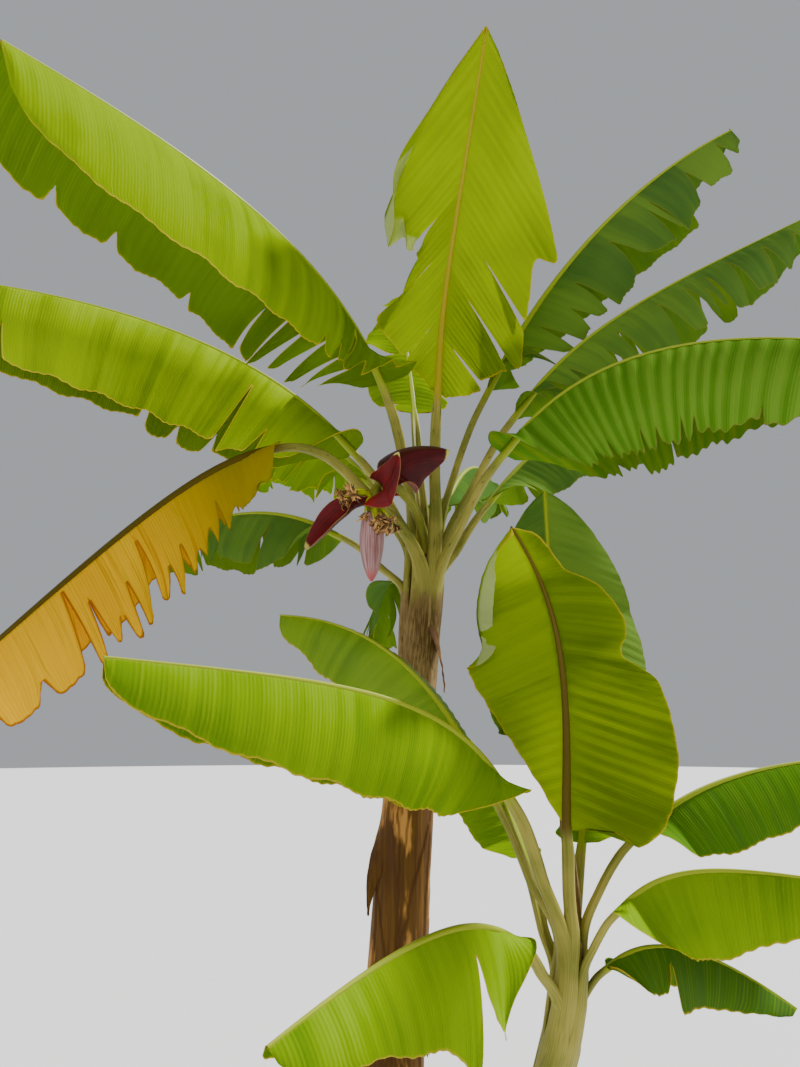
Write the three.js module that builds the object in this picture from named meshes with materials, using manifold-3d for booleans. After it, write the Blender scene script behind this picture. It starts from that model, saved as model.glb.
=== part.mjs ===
// Flowering banana plant: a mother stem and its large sucker, grown from one root.
// Units are millimetres, +Z is up, and the origin is at the middle of the mother stem's flat foot.

import * as THREE from 'three';
import { mergeVertices } from 'three/addons/utils/BufferGeometryUtils.js';
import Module from 'manifold-3d';

const wasm = await Module();
wasm.setup();

// Driving dimensions of the stems
const CLEARANCE = 0.3;
const SPLIT_GAP_SHARE = 3;
const BURIED_DEPTH = 60;
const STEM_HEIGHT = 2330;
const STEM_LEAN = 162;
const STEM_MID_SHIFT = 72;
const STEM_RADIUS = 92;
const STEM_TAPER = 20;
const STEM_FLARE = 38;
const STEM_FLARE_HEIGHT = 170;
const STEM_CROWN_START = 2020;
const STEM_CROWN_RADIUS = 76;
const SUCKER_FOOT = [98, -146];
const SUCKER_LOW_HANDLE = [290, -415, 220];
const SUCKER_HIGH_HANDLE = [500, -750, 420];
const SUCKER_TOP = [560, -760, 1040];
const SUCKER_RADIUS = 47;
const SUCKER_FLARE = 24;
const SUCKER_FLARE_HEIGHT = 220;
const SUCKER_CROWN_START = 880;
const SUCKER_CROWN_RADIUS = 34;
const SHEATH_LOBE = 0.035;
const SHEATH_TWIST_HEIGHT = 260;
const STEM_SIDES = 20;
const STEM_STEPS = 16;

// Driving dimensions of the leaves
const THICKNESS_SHARE = 0.0102;
const MOTHER_THICKNESS = 19;
const SUCKER_THICKNESS = 12;
const BRACT_THICKNESS = 6;
const RIB_RADIUS = 22;
const TIP_RADIUS = 7;
const OUTLINE_POWER = 0.42;
const TEAR_HALF_WIDTH = 0.014;
const TEAR_DEPTH = 0.82;
const TEAR_SWAY = 9;
const STRIP_TURN = 2.4;
const RIPPLE_WAVES = 2.5;
const INNER_RIPPLE = 0.25;
const PETIOLE_DEPTH = 1.3;
const PETIOLE_EDGE = 0.6;
const KEEL_DEPTH = 0.55;
const KEEL_FLANK = 0.85;
const KEEL_HALF_WIDTH = 0.35;
const LEAN_OPENS = 0.03;
const BLADE_OPENS = 0.1;
const HANG_OPENS = 0.15;
const ROLL_OPENS = 0.3;
const BLADE_STATIONS = [0.03, 0.1, 0.22, 0.35, 0.5, 0.65, 0.8, 0.92, 1];
const PETIOLE_STATIONS = [0, 0.34, 0.67, 1];

// Driving dimensions of the flower
const BUD_TOP = [-50, -400, 2405];
const BUD_LENGTH = 265;
const BUD_RADIUS = 44;
const BUD_PROFILE = [
  [0, 0], [0.22, 0.03], [0.6, 0.18], [0.9, 0.42], [1, 0.66], [0.93, 0.84], [0.62, 0.97], [0, 1],
];
const STALK_RADIUS = 21;
const STALK_RISE = 250;
const HAND_RADIUS = 32;
const HAND_HEIGHT = 18;
const HAND_FINGERS = 7;
const FINGER_RADIUS = 7;
const FINGER_STAGGER = 14;
const FINGER_SUNK = 14;
const HANDS = [
  { name: 'flower_hand_left', height: 64, facing: 184, spread: 62, droop: -10, reach: 78 },
  { name: 'flower_hand_right', height: 26, facing: -22, spread: 84, droop: 46, reach: 74 },
];

// How each leaf grows. Its rib is one bow that starts `inset` from the stem's middle on the side
// `seat`, at the part `base` of the stem's length, and leaves at the angle `rise`. It heads for
// `heading`, with its tip `reach` out from the stem and `climb` above its foot, and ends at the
// angle `dip`. `bow` is how far it bulges. Its halves hang by `fold` and `curl` degrees, left and
// right as seen from the stem, with `sag` more at the tip, and each strip between two tears may take
// a further turn. Its veins lean forward by `lean`, and `taper` is how slowly it narrows to its tip.
// A leaf is in two pieces where it has a `bend`.
const LEAF = {
  inset: 40, bow: 0.4, bladeStart: 0.3, petiole: 26, roll: 0, fold: [50, 50], curl: [12, 12], sag: [0, 0],
  belly: [0.8, 0.8], taper: [OUTLINE_POWER, OUTLINE_POWER], lean: 0.06, tears: [[], []], turns: [[], []],
  ripple: 0, bend: 0, thickness: MOTHER_THICKNESS, colour: 'leaf',
};
const MOTHER_LEAVES = [
  { name: 'leaf_upright', base: 0.985, seat: 304, inset: 58, heading: -72, reach: 769, climb: 1996, rise:
    86, dip: 61, bow: 0.532, bladeStart: 0.28, width: 760, roll: -24, fold: [10, -23], curl: [-6, -18],
    ripple: 28, lean: -1.1, taper: [0.55, 0.38], tears: [[0.22, 0.45], [0.3, 0.56]], turns: [[-6, 6, 0],
    [0, 8, -24]], belly: [1.8, 2.3] },
  { name: 'leaf_upper_left', base: 0.985, seat: 180, inset: 50, heading: 236, reach: 1985, climb: 1001,
    rise: 88, dip: -9, bow: 0.488, width: 900, fold: [60, 42], curl: [20, 14], sag: [8, -6], tears:
    [[0.2], [0.12, 0.3]], bend: 0.55, taper: [0.24, 0.2] },
  { name: 'leaf_left', base: 0.93, seat: 256, heading: 204.5, reach: 2000, climb: 980, rise: 78, dip: -8,
    bladeStart: 0.27, width: 860, fold: [55, 48], curl: [70, 12], tears: [[0.3], [0.5]], bend: 0.5, taper:
    [0.26, 0.3] },
  { name: 'leaf_upper_right', base: 0.985, seat: 38, inset: 50, heading: -2, reach: 1480, climb: 2107,
    rise: 82, dip: 28, bow: 0.33, bladeStart: 0.32, width: 630, fold: [34, 80], curl: [10, 4], tears: [[],
    [0.2, 0.35, 0.5, 0.66, 0.8]], taper: [0.42, 0.3] },
  { name: 'leaf_right', base: 0.94, seat: 350, heading: -9, reach: 1741, climb: 1607, rise: 70, dip: 24,
    bow: 0.473, bladeStart: 0.32, width: 660, fold: [45, 56], curl: [10, 36], tears: [[0.4, 0.7], [0.2,
    0.4, 0.55, 0.7, 0.85]], bend: 0.5 },
  { name: 'leaf_lower_right', base: 0.888, seat: 322, heading: -33, reach: 1795, climb: 720, rise: 71,
    dip: -25, bow: 0.51, width: 900, fold: [58, 56], curl: [12, 44], tears: [[0.5], [0.3, 0.6, 0.8]],
    bend: 0.5, taper: [0.42, 0.26] },
  { name: 'leaf_yellow', base: 0.885, seat: 274, heading: 225.5, reach: 2090, climb: -710, rise: 63, dip:
    -47, bow: 0.62, bladeStart: 0.42, width: 460, fold: [70, 70], curl: [8, 8], colour: 'yellow', tears:
    [[0.25, 0.5, 0.75], [0.15, 0.35, 0.55, 0.75]], bend: 0.48 },
  { name: 'leaf_back_right', base: 0.905, seat: 58, heading: 28, reach: 1450, climb: 920, rise: 62, dip:
    -30, width: 560, fold: [55, 55], tears: [[0.3, 0.6], [0.45]], bend: 0.5 },
  { name: 'leaf_back_upright', base: 0.985, seat: 102, inset: 50, heading: 97, reach: 850, climb: 1750,
    rise: 86, dip: 62, bladeStart: 0.42, width: 480, fold: [15, 15], tears: [[0.5], [0.3]] },
  { name: 'leaf_back', base: 0.897, seat: 84, heading: 70, reach: 1600, climb: 850, rise: 70, dip: -32,
    width: 600, fold: [58, 58], tears: [[0.4], [0.55]], bend: 0.5 },
  { name: 'leaf_back_left', base: 0.944, seat: 146, heading: 128, reach: 1650, climb: 850, rise: 70,
    dip: -30, width: 600, fold: [58, 58], tears: [[0.35, 0.7], [0.5]], bend: 0.5 },
  { name: 'leaf_far_left', base: 0.897, seat: 172, heading: 158, reach: 1450, climb: 320, rise: 62, dip: -40,
    width: 560, fold: [62, 62], tears: [[0.3, 0.6], [0.4, 0.75]], bend: 0.5 },
  { name: 'leaf_back_low', base: 0.85, seat: 118, heading: 100, reach: 1450, climb: 50, rise: 58, dip: -55,
    width: 540, fold: [66, 66], curl: [10, 10], tears: [[0.3, 0.5, 0.7], [0.4, 0.6]], bend: 0.5 },
];
const SUCKER_LEAF = { inset: 15, petiole: 19, thickness: SUCKER_THICKNESS };
const SUCKER_LEAVES = [
  { name: 'sucker_leaf_upright', base: 0.97, seat: 250, inset: 24, heading: 238, reach: 330, climb: 1200,
    rise: 90, dip: 25, bow: 0.49, width: 650, roll: 26, fold: [6, -10], curl: [-8, -10], belly: [0.62,
    1.4], taper: [0.8, 0.6], lean: -0.35, ripple: 30, bladeStart: 0.2 },
  { name: 'sucker_leaf_left', base: 0.9, seat: 240, heading: 214, reach: 1374, climb: 900, rise: 82, dip:
    3, bow: 0.535, width: 560, petiole: 22, fold: [62, 60], curl: [30, 10], bend: 0.5, inset: 30 },
  { name: 'sucker_leaf_inner_left', base: 0.94, seat: 140, heading: 160, reach: 986, climb: 1083, rise:
    72, dip: 4, width: 460, fold: [66, 10], curl: [20, 10], bow: 0.4, inset: 30 },
  { name: 'sucker_leaf_low_left', base: 0.84, seat: 249, heading: 226, reach: 1057, climb: 217, rise: 72,
    dip: -19, bow: 0.473, width: 460, fold: [60, 40], curl: [20, 10], tears: [[0.3], []], turns: [[-16,
    0], []], bend: 0.5, inset: 30 },
  { name: 'sucker_leaf_right', base: 0.93, seat: 30, heading: 6, reach: 968, climb: 614, rise: 76, dip: 3,
    bow: 0.433, bladeStart: 0.37, width: 420, fold: [40, 62], curl: [10, 20], bend: 0.52, petiole: 17 },
  { name: 'sucker_leaf_low_right', base: 0.89, seat: 310, heading: -29, reach: 750, climb: 380, rise: 68,
    dip: -5, bow: 0.52, width: 460, fold: [50, 64], curl: [12, 24], bend: 0.64, petiole: 17 },
  { name: 'sucker_leaf_small', base: 0.81, seat: 350, heading: -6, reach: 666, climb: 120, rise: 70, dip:
    -35, bow: 0.566, bladeStart: 0.28, width: 320, petiole: 15, tears: [[], [0.4]] },
  { name: 'sucker_leaf_tall', base: 0.97, seat: 78, inset: 24, heading: 82, reach: 400, climb: 1520, rise:
    86, dip: 76, bladeStart: 0.4, width: 640, petiole: 18, fold: [34, 10], curl: [10, 10], lean: -0.3,
    ripple: 20 },
  { name: 'sucker_leaf_back_right', base: 0.88, seat: 34, heading: 56, reach: 520, climb: 900, rise: 72,
    dip: 40, bladeStart: 0.42, width: 340, fold: [30, 30] },
  { name: 'sucker_leaf_back', base: 0.87, seat: 122, heading: 122, reach: 500, climb: 800, rise: 72, dip: 30,
    bladeStart: 0.42, width: 320, fold: [35, 35] },
];

// Bracts and dry sheaths follow the same rule with no petiole
const SMALL_BLADE = { inset: 0, bladeStart: 0.05, petiole: 9, curl: [20, 20], thickness: BRACT_THICKNESS };
const BRACTS = [
  { name: 'bract_right', base: 0.8, heading: 7, reach: 275, climb: 112, rise: 66, dip: -4, width: 270,
    roll: 66, fold: [14, 14], curl: [30, 30], belly: [0.6, 0.6] },
  { name: 'bract_upper', base: 0.92, heading: -60, reach: 200, climb: 130, rise: 26, dip: 64, width: 200,
    roll: 74, fold: [-36, 0], curl: [-14, 30], belly: [0.8, 0.5], bladeStart: 0.08, lean: -0.5, seat: 312,
    inset: 26 },
  { name: 'bract_left', base: 0.95, heading: 168, reach: 250, climb: -190, rise: -2, dip: -44, width: 120,
    roll: -58, fold: [-12, -12], curl: [-24, -24], belly: [0.9, 0.9] },
];
const DRY_SHEATHS = [
  { name: 'dry_sheath_crown', base: 0.9, heading: -40, reach: 190, climb: -330, dip: -80, width: 90 },
  { name: 'dry_sheath_middle', base: 0.56, heading: 205, reach: 160, climb: -360, dip: -84, width: 110 },
  { name: 'dry_sheath_low', base: 0.36, heading: -35, reach: 175, climb: -320, dip: -84, width: 120 },
];
const DRY_RISE = 10;

// Materials

const COLOURS = {
  leaf: '#6f9a1c',
  yellow: '#d9a522',
  stem: '#7f7a3c',
  stalk: '#6d7f2c',
  bract: '#6b1420',
  bud: '#9a5560',
  flower: '#c3ad3c',
  dry: '#8a6236',
};

function material(name) {
  return new THREE.MeshStandardMaterial({ color: COLOURS[name], roughness: 0.5, metalness: 0 });
}

// Solids

function solidFrom(geometry) {
  const vertProperties = new Float32Array(geometry.getAttribute('position').array);
  const triVerts = new Uint32Array(geometry.getIndex().array);
  return new wasm.Manifold(new wasm.Mesh({ numProp: 3, vertProperties, triVerts }));
}

function welded(geometry) {
  geometry.deleteAttribute('normal');
  geometry.deleteAttribute('uv');
  return mergeVertices(geometry, 0.001);
}

function meshFrom(name, solid, colour) {
  const { vertProperties, triVerts } = solid.getMesh();
  const geometry = new THREE.BufferGeometry();
  geometry.setAttribute('position', new THREE.BufferAttribute(vertProperties, 3));
  geometry.setIndex(new THREE.BufferAttribute(triVerts, 1));
  geometry.computeVertexNormals();
  const mesh = new THREE.Mesh(geometry, material(colour));
  mesh.name = name;
  return mesh;
}

// Triangles of a flat end: a fan for a round ring, and matched strips for a leaf's section.
function fanOf(size) {
  return Array.from({ length: size - 2 }, (_, i) => [0, i + 1, i + 2]);
}
const LEAF_END = [
  [0, 1, 4], [1, 2, 3], [1, 3, 4], [0, 4, 5], [0, 5, 6],
  [0, 6, 7], [0, 7, 8], [0, 8, 11], [11, 8, 9], [11, 9, 10],
];

// A closed body through rings of points. Each ring runs left-handed round the way of travel.
function loft(rings, end) {
  const size = rings[0].length;
  const corners = [];
  for (let row = 0; row + 1 < rings.length; row += 1) {
    for (let i = 0; i < size; i += 1) {
      const j = (i + 1) % size;
      const near = row * size;
      const far = near + size;
      corners.push(near + i, near + j, far + j, near + i, far + j, far + i);
    }
  }
  const last = (rings.length - 1) * size;
  end.forEach(([a, b, c]) => corners.push(a, c, b, last + a, last + b, last + c));
  const geometry = new THREE.BufferGeometry();
  const positions = rings.flat().flatMap((point) => point.toArray());
  geometry.setAttribute('position', new THREE.Float32BufferAttribute(positions, 3));
  geometry.setIndex(corners);
  return solidFrom(geometry);
}

// Stems

const motherCurve = new THREE.QuadraticBezierCurve3(
  new THREE.Vector3(-3, 0, -BURIED_DEPTH),
  new THREE.Vector3(STEM_MID_SHIFT, 0, STEM_HEIGHT / 2),
  new THREE.Vector3(STEM_LEAN, 0, STEM_HEIGHT),
);
const suckerCurve = new THREE.CubicBezierCurve3(
  new THREE.Vector3(...SUCKER_FOOT, -BURIED_DEPTH),
  new THREE.Vector3(...SUCKER_LOW_HANDLE),
  new THREE.Vector3(...SUCKER_HIGH_HANDLE),
  new THREE.Vector3(...SUCKER_TOP),
);

function motherRadius(height) {
  const flare = STEM_FLARE * Math.exp(-Math.max(0, height) / STEM_FLARE_HEIGHT);
  const radius = STEM_RADIUS + STEM_TAPER * (1 - height / STEM_HEIGHT) + flare;
  const crown = THREE.MathUtils.smoothstep(height, STEM_CROWN_START, STEM_HEIGHT);
  return THREE.MathUtils.lerp(radius, STEM_CROWN_RADIUS, crown);
}

function suckerRadius(height) {
  const flare = SUCKER_FLARE * Math.exp(-Math.max(0, height) / SUCKER_FLARE_HEIGHT);
  const crown = THREE.MathUtils.smoothstep(height, SUCKER_CROWN_START, SUCKER_TOP[2]);
  return THREE.MathUtils.lerp(SUCKER_RADIUS + flare, SUCKER_CROWN_RADIUS, crown);
}

function stemSolid(curve, radiusAt, extra) {
  const rings = [];
  for (let step = 0; step <= STEM_STEPS; step += 1) {
    const t = step / STEM_STEPS;
    const middle = curve.getPoint(t);
    const travel = curve.getTangent(t);
    if (step === STEM_STEPS) {
      middle.addScaledVector(travel, extra);
    }
    const across = new THREE.Vector3(0, 1, 0).cross(travel).normalize();
    const along = travel.clone().cross(across);
    rings.push(Array.from({ length: STEM_SIDES }, (_, side) => {
      const turn = (2 * Math.PI * side) / STEM_SIDES;
      const lobe = 1 + SHEATH_LOBE * Math.cos(3 * turn + middle.z / SHEATH_TWIST_HEIGHT);
      const radius = radiusAt(middle.z) * lobe + extra;
      return middle.clone()
        .addScaledVector(across, radius * Math.cos(turn))
        .addScaledVector(along, radius * Math.sin(turn));
    }));
  }
  return loft(rings, fanOf(STEM_SIDES));
}

function groundBlock() {
  const reach = 4000;
  const block = new THREE.BoxGeometry(reach, reach, reach);
  block.translate(0, 0, -reach / 2);
  return solidFrom(welded(block));
}

// Leaves

function bearing(angle) {
  const turn = THREE.MathUtils.degToRad(angle);
  return new THREE.Vector3(Math.cos(turn), Math.sin(turn), 0);
}

function leafCurve(leaf, middle) {
  const out = bearing(leaf.heading);
  const foot = middle.clone().addScaledVector(bearing(leaf.seat ?? leaf.heading), leaf.inset);
  const up = new THREE.Vector3(0, 0, 1);
  const side = up.clone().cross(out);
  const tip = middle.clone().addScaledVector(out, leaf.reach).addScaledVector(up, leaf.climb);
  const handle = leaf.bow * foot.distanceTo(tip);
  const arm = (angle) => {
    const turn = THREE.MathUtils.degToRad(angle);
    return out.clone().multiplyScalar(handle * Math.cos(turn)).addScaledVector(up, handle * Math.sin(turn));
  };
  const near = foot.clone().add(arm(leaf.rise));
  const far = tip.clone().sub(arm(leaf.dip));
  return { curve: new THREE.CubicBezierCurve3(foot, near, far, tip), side };
}

function bladeOutline(leaf, side, place) {
  const part = place ** leaf.belly[side];
  const power = part < 0.5 ? OUTLINE_POWER : leaf.taper[side];
  return Math.max(0, Math.sin(Math.PI * part)) ** power;
}

function halfWidth(leaf, side, place) {
  const cut = leaf.tears[side].reduce((deepest, tear) => {
    return Math.max(deepest, 1 - Math.abs(place - tear) / TEAR_HALF_WIDTH);
  }, 0);
  return (leaf.width / 2) * bladeOutline(leaf, side, place) * (1 - TEAR_DEPTH * cut);
}

function hang(leaf, side, place) {
  const opened = THREE.MathUtils.smoothstep(place, 0, HANG_OPENS);
  const strip = leaf.tears[side].filter((tear) => tear < place).length;
  const sway = strip > 0 ? TEAR_SWAY * Math.sin(STRIP_TURN * strip + leaf.heading) : 0;
  return (leaf.fold[side] + leaf.sag[side] * place + (leaf.turns[side][strip] ?? sway)) * opened;
}

// Twelve points round the leaf's section: over the top, round each margin, and under the rib.
function leafSection(leaf, path, s) {
  const place = Math.max(0, (s - leaf.bladeStart) / (1 - leaf.bladeStart));
  const alongPetiole = Math.min(1, s / leaf.bladeStart);
  const ribStart = Math.min(RIB_RADIUS, leaf.petiole);
  const rib = place > 0
    ? THREE.MathUtils.lerp(ribStart, TIP_RADIUS, place)
    : THREE.MathUtils.lerp(leaf.petiole, ribStart, alongPetiole);
  const blade = THREE.MathUtils.smoothstep(place, 0, BLADE_OPENS);
  const leaned = THREE.MathUtils.smoothstep(place, 0, LEAN_OPENS);
  const thickness = THREE.MathUtils.lerp(PETIOLE_DEPTH * rib, leaf.thickness, blade);
  const travel = path.curve.getTangent(s);
  const level = path.side.clone().projectOnPlane(travel).normalize();
  const roll = THREE.MathUtils.degToRad(leaf.roll * THREE.MathUtils.smoothstep(place, 0, ROLL_OPENS));
  const across = level.applyAxisAngle(travel, roll);
  const normal = travel.clone().cross(across);
  const middle = path.curve.getPoint(s);
  const at = (x, z, ahead) => middle.clone()
    .addScaledVector(across, x)
    .addScaledVector(normal, z)
    .addScaledVector(travel, ahead);

  const half = (side) => {
    const sign = side === 0 ? 1 : -1;
    const width = Math.max(rib, halfWidth(leaf, side, place));
    const fold = hang(leaf, side, place);
    const inner = THREE.MathUtils.degToRad(fold + 0.25 * leaf.curl[side] * blade);
    const outer = THREE.MathUtils.degToRad(fold + 0.75 * leaf.curl[side] * blade);
    const wave = leaf.ripple * Math.sin(2 * Math.PI * RIPPLE_WAVES * place + 2 * side) * blade;
    const points = [[inner, (inner + outer) / 2, INNER_RIPPLE], [outer, outer, 1]];
    let x = 0;
    let z = 0;
    return points.map(([turn, tilt, waved], step) => {
      x += 0.5 * width * Math.cos(turn);
      z -= 0.5 * width * Math.sin(turn);
      const lift = z + wave * waved;
      const ahead = leaf.lean * width * 0.5 * (step + 1) * leaned;
      const depth = (step === 1 && place === 0 ? PETIOLE_EDGE : 1) * thickness / 2;
      const top = at(sign * (x + depth * Math.sin(tilt)), lift + depth * Math.cos(tilt), ahead);
      const bottom = at(sign * (x - depth * Math.sin(tilt)), lift - depth * Math.cos(tilt), ahead);
      return { top, bottom };
    });
  };
  const [left, right] = [half(0), half(1)];
  const keel = thickness / 2 + KEEL_DEPTH * rib;
  const ribSide = KEEL_HALF_WIDTH * rib;
  return [
    at(0, thickness / 2, 0), right[0].top, right[1].top, right[1].bottom, right[0].bottom,
    at(-ribSide, -KEEL_FLANK * keel, 0), at(0, -keel, 0), at(ribSide, -KEEL_FLANK * keel, 0),
    left[0].bottom, left[1].bottom, left[1].top, left[0].top,
  ];
}

function leafStations(leaf) {
  const tears = leaf.tears.flat();
  const cuts = tears.flatMap((tear) => [tear - TEAR_HALF_WIDTH, tear, tear + TEAR_HALF_WIDTH]);
  const clear = BLADE_STATIONS.filter((place) => cuts.every((cut) => Math.abs(cut - place) > 0.02));
  const blade = [...clear, ...cuts].map((place) => leaf.bladeStart + place * (1 - leaf.bladeStart));
  const petiole = PETIOLE_STATIONS.map((place) => place * leaf.bladeStart);
  return [...petiole, ...blade].sort((a, b) => a - b);
}

function leafPiece(leaf, path, from, to) {
  const inside = leafStations(leaf).filter((s) => s > from + 0.01 && s < to - 0.01);
  return loft([from, ...inside, to].map((s) => leafSection(leaf, path, s)), LEAF_END);
}

function leafMeshes(row, middle, carrier) {
  const leaf = { ...LEAF, ...row };
  const path = leafCurve(leaf, middle);
  const length = path.curve.getLength();
  leaf.thickness = Math.max(leaf.thickness, THICKNESS_SHARE * length);
  if (leaf.bend === 0) {
    return [meshFrom(leaf.name, leafPiece(leaf, path, 0, 1).subtract(carrier), leaf.colour)];
  }
  const gap = (SPLIT_GAP_SHARE * CLEARANCE) / length;
  const inner = leafPiece(leaf, path, 0, leaf.bend).subtract(carrier);
  const outer = leafPiece(leaf, path, leaf.bend + gap, 1);
  return [
    meshFrom(`${leaf.name}_inner`, inner, leaf.colour),
    meshFrom(`${leaf.name}_outer`, outer, leaf.colour),
  ];
}

// Flower

function stalkCurve() {
  const crown = motherCurve.getPoint(1);
  const end = new THREE.Vector3(...BUD_TOP);
  const up = new THREE.Vector3(0, 0, STALK_RISE);
  return new THREE.CubicBezierCurve3(crown, crown.clone().add(up), end.clone().add(up), end);
}

function budSolid() {
  const outline = BUD_PROFILE.map(([radius, height]) => {
    return new THREE.Vector2(radius * BUD_RADIUS, (height - 1) * BUD_LENGTH);
  });
  const geometry = new THREE.LatheGeometry(outline, 16);
  geometry.rotateX(Math.PI / 2).translate(BUD_TOP[0], BUD_TOP[1], BUD_TOP[2] - CLEARANCE);
  return solidFrom(welded(geometry));
}

// Half a ring round the stalk, with a row of slim fingers that reach out from it.
function handSolid(row, carrier) {
  const middle = new THREE.Vector3(...BUD_TOP).add(new THREE.Vector3(0, 0, row.height));
  const ring = new THREE.CylinderGeometry(HAND_RADIUS, HAND_RADIUS, HAND_HEIGHT, 16);
  ring.rotateX(Math.PI / 2).translate(...middle.toArray());
  const half = new THREE.BoxGeometry(4 * HAND_RADIUS, 2 * HAND_RADIUS, 2 * HAND_HEIGHT);
  half.translate(0, -HAND_RADIUS - CLEARANCE, 0).rotateZ(THREE.MathUtils.degToRad(row.facing + 90));
  half.translate(...middle.toArray());
  let hand = solidFrom(welded(ring)).intersect(solidFrom(welded(half)));
  for (let i = 0; i < HAND_FINGERS; i += 1) {
    const turn = row.facing + row.spread * (i / (HAND_FINGERS - 1) - 0.5);
    const droop = row.droop + FINGER_STAGGER * (i % 2);
    const finger = new THREE.CylinderGeometry(FINGER_RADIUS, 0.6 * FINGER_RADIUS, row.reach, 6);
    finger.translate(0, row.reach / 2, 0).rotateZ(-Math.PI / 2).rotateY(THREE.MathUtils.degToRad(droop));
    finger.translate(HAND_RADIUS - FINGER_SUNK, 0, 0).rotateZ(THREE.MathUtils.degToRad(turn));
    finger.translate(...middle.toArray());
    hand = hand.add(solidFrom(welded(finger)));
  }
  return hand.subtract(carrier);
}

function flowerMeshes() {
  const curve = stalkCurve();
  const stalk = stemSolid(curve, () => STALK_RADIUS, 0).subtract(motherHull);
  const hull = stemSolid(curve, () => STALK_RADIUS, CLEARANCE);
  const bracts = BRACTS.flatMap((row) => {
    return leafMeshes({ ...SMALL_BLADE, ...row, colour: 'bract' }, curve.getPoint(row.base), hull);
  });
  return [
    meshFrom('flower_stalk', stalk, 'stalk'),
    meshFrom('flower_bud', budSolid(), 'bud'),
    ...HANDS.map((row) => meshFrom(row.name, handSolid(row, hull), 'flower')),
    ...bracts,
  ];
}

// Assembly

const plant = new THREE.Group();
const ground = groundBlock();
const motherHull = stemSolid(motherCurve, motherRadius, CLEARANCE);
const suckerHull = stemSolid(suckerCurve, suckerRadius, CLEARANCE);
plant.add(meshFrom('pseudostem', stemSolid(motherCurve, motherRadius, 0).subtract(ground), 'stem'));
const suckerStem = stemSolid(suckerCurve, suckerRadius, 0).subtract(motherHull).subtract(ground);
plant.add(meshFrom('sucker_stem', suckerStem, 'stem'));
MOTHER_LEAVES.forEach((row) => plant.add(...leafMeshes(row, motherCurve.getPoint(row.base), motherHull)));
SUCKER_LEAVES.forEach((row) => {
  plant.add(...leafMeshes({ ...SUCKER_LEAF, ...row }, suckerCurve.getPoint(row.base), suckerHull));
});
DRY_SHEATHS.forEach((row) => {
  const sheath = { ...SMALL_BLADE, ...row, rise: DRY_RISE, colour: 'dry' };
  plant.add(...leafMeshes(sheath, motherCurve.getPoint(row.base), motherHull));
});
plant.add(...flowerMeshes());

export default plant;
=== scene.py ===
import math
import random
from dataclasses import dataclass, replace

import bmesh
import bpy
from bpy.props import FloatProperty, FloatVectorProperty, IntProperty, PointerProperty
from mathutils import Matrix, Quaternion, Vector, noise


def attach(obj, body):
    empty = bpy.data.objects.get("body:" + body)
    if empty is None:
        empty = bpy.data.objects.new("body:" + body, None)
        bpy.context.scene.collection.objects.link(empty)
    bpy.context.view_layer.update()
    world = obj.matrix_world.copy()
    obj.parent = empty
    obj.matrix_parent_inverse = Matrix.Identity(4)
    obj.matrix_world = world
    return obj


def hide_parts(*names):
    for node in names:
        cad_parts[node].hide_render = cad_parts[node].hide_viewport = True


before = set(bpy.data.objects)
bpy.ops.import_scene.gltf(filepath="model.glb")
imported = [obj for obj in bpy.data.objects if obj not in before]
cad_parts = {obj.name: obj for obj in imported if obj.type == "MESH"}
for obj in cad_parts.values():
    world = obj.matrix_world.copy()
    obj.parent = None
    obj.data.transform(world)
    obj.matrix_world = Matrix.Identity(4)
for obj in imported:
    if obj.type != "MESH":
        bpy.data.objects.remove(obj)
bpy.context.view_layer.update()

bl_info = {
    "name": "Flowering banana plant",
    "version": (1, 0, 0),
    "blender": (4, 5, 0),
    "location": "3D Viewport > Sidebar > Banana plant",
    "description": "Builds the leaves, stems and flower of a banana plant round its frame",
    "category": "Object",
}

UP = Vector((0, 0, 1))

# Stems, in metres
BURIED = 0.06
STEM_FOOT_SHIFT = -0.003
STEM_HEIGHT = 2.33
STEM_LEAN = 0.162
STEM_MID_SHIFT = 0.072
STEM_RADIUS = 0.092
STEM_TAPER = 0.02
STEM_FLARE = 0.038
STEM_FLARE_HEIGHT = 0.17
STEM_CROWN_START = 2.02
STEM_CROWN_RADIUS = 0.066
STEM_WAIST = 0.74
STEM_WAIST_HEIGHTS = (1.2, 1.95)
STEM_END = STEM_HEIGHT - 0.004
STEM_RIM = 0.09
SUCKER_FOOT = (0.098, -0.146)
SUCKER_LOW_HANDLE = (0.29, -0.415, 0.22)
SUCKER_HIGH_HANDLE = (0.5, -0.75, 0.42)
SUCKER_TOP = (0.56, -0.76, 1.04)
SUCKER_RADIUS = 0.047
SUCKER_FLARE = 0.024
SUCKER_FLARE_HEIGHT = 0.22
SUCKER_CROWN_START = 0.88
SUCKER_CROWN_RADIUS = 0.034
SUCKER_END = SUCKER_TOP[2] - 0.003
SUCKER_RIM = 0.05

# Sheaths round the stems, in metres and degrees. Each sheath is (top, dryness)
LEAF_TURN = 137.5
SHEATH_REACH = 150
SHEATH_TAPER = 0.9
SHEATH_RAGGED = ((6, 6), (3, 23))  # each is (size, waves per metre)
SHEATH_SUNK = 0.6
SHEATH_SOFT = (-1.2, 1.6)
SHEATH_FADE = 16
MOTHER_SHEATHS = ((2.3, 0.35), (2.2, 0.5), (2.12, 0.8), (2.0, 0.95), (1.6, 0.75), (1.42, 0.9), (1.1, 0.8))
SUCKER_SHEATHS = ((0.95, 0.1), (0.86, 0.2), (0.77, 0.3), (0.68, 0.4), (0.59, 0.5))
MOTHER_FIRST = 57
SUCKER_FIRST = 20
OWN_TURN = 14
LOBE_DEPTH = 0.02
LOBE_PITCH = 0.26
SKIN_GRAIN = 0.0016

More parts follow.
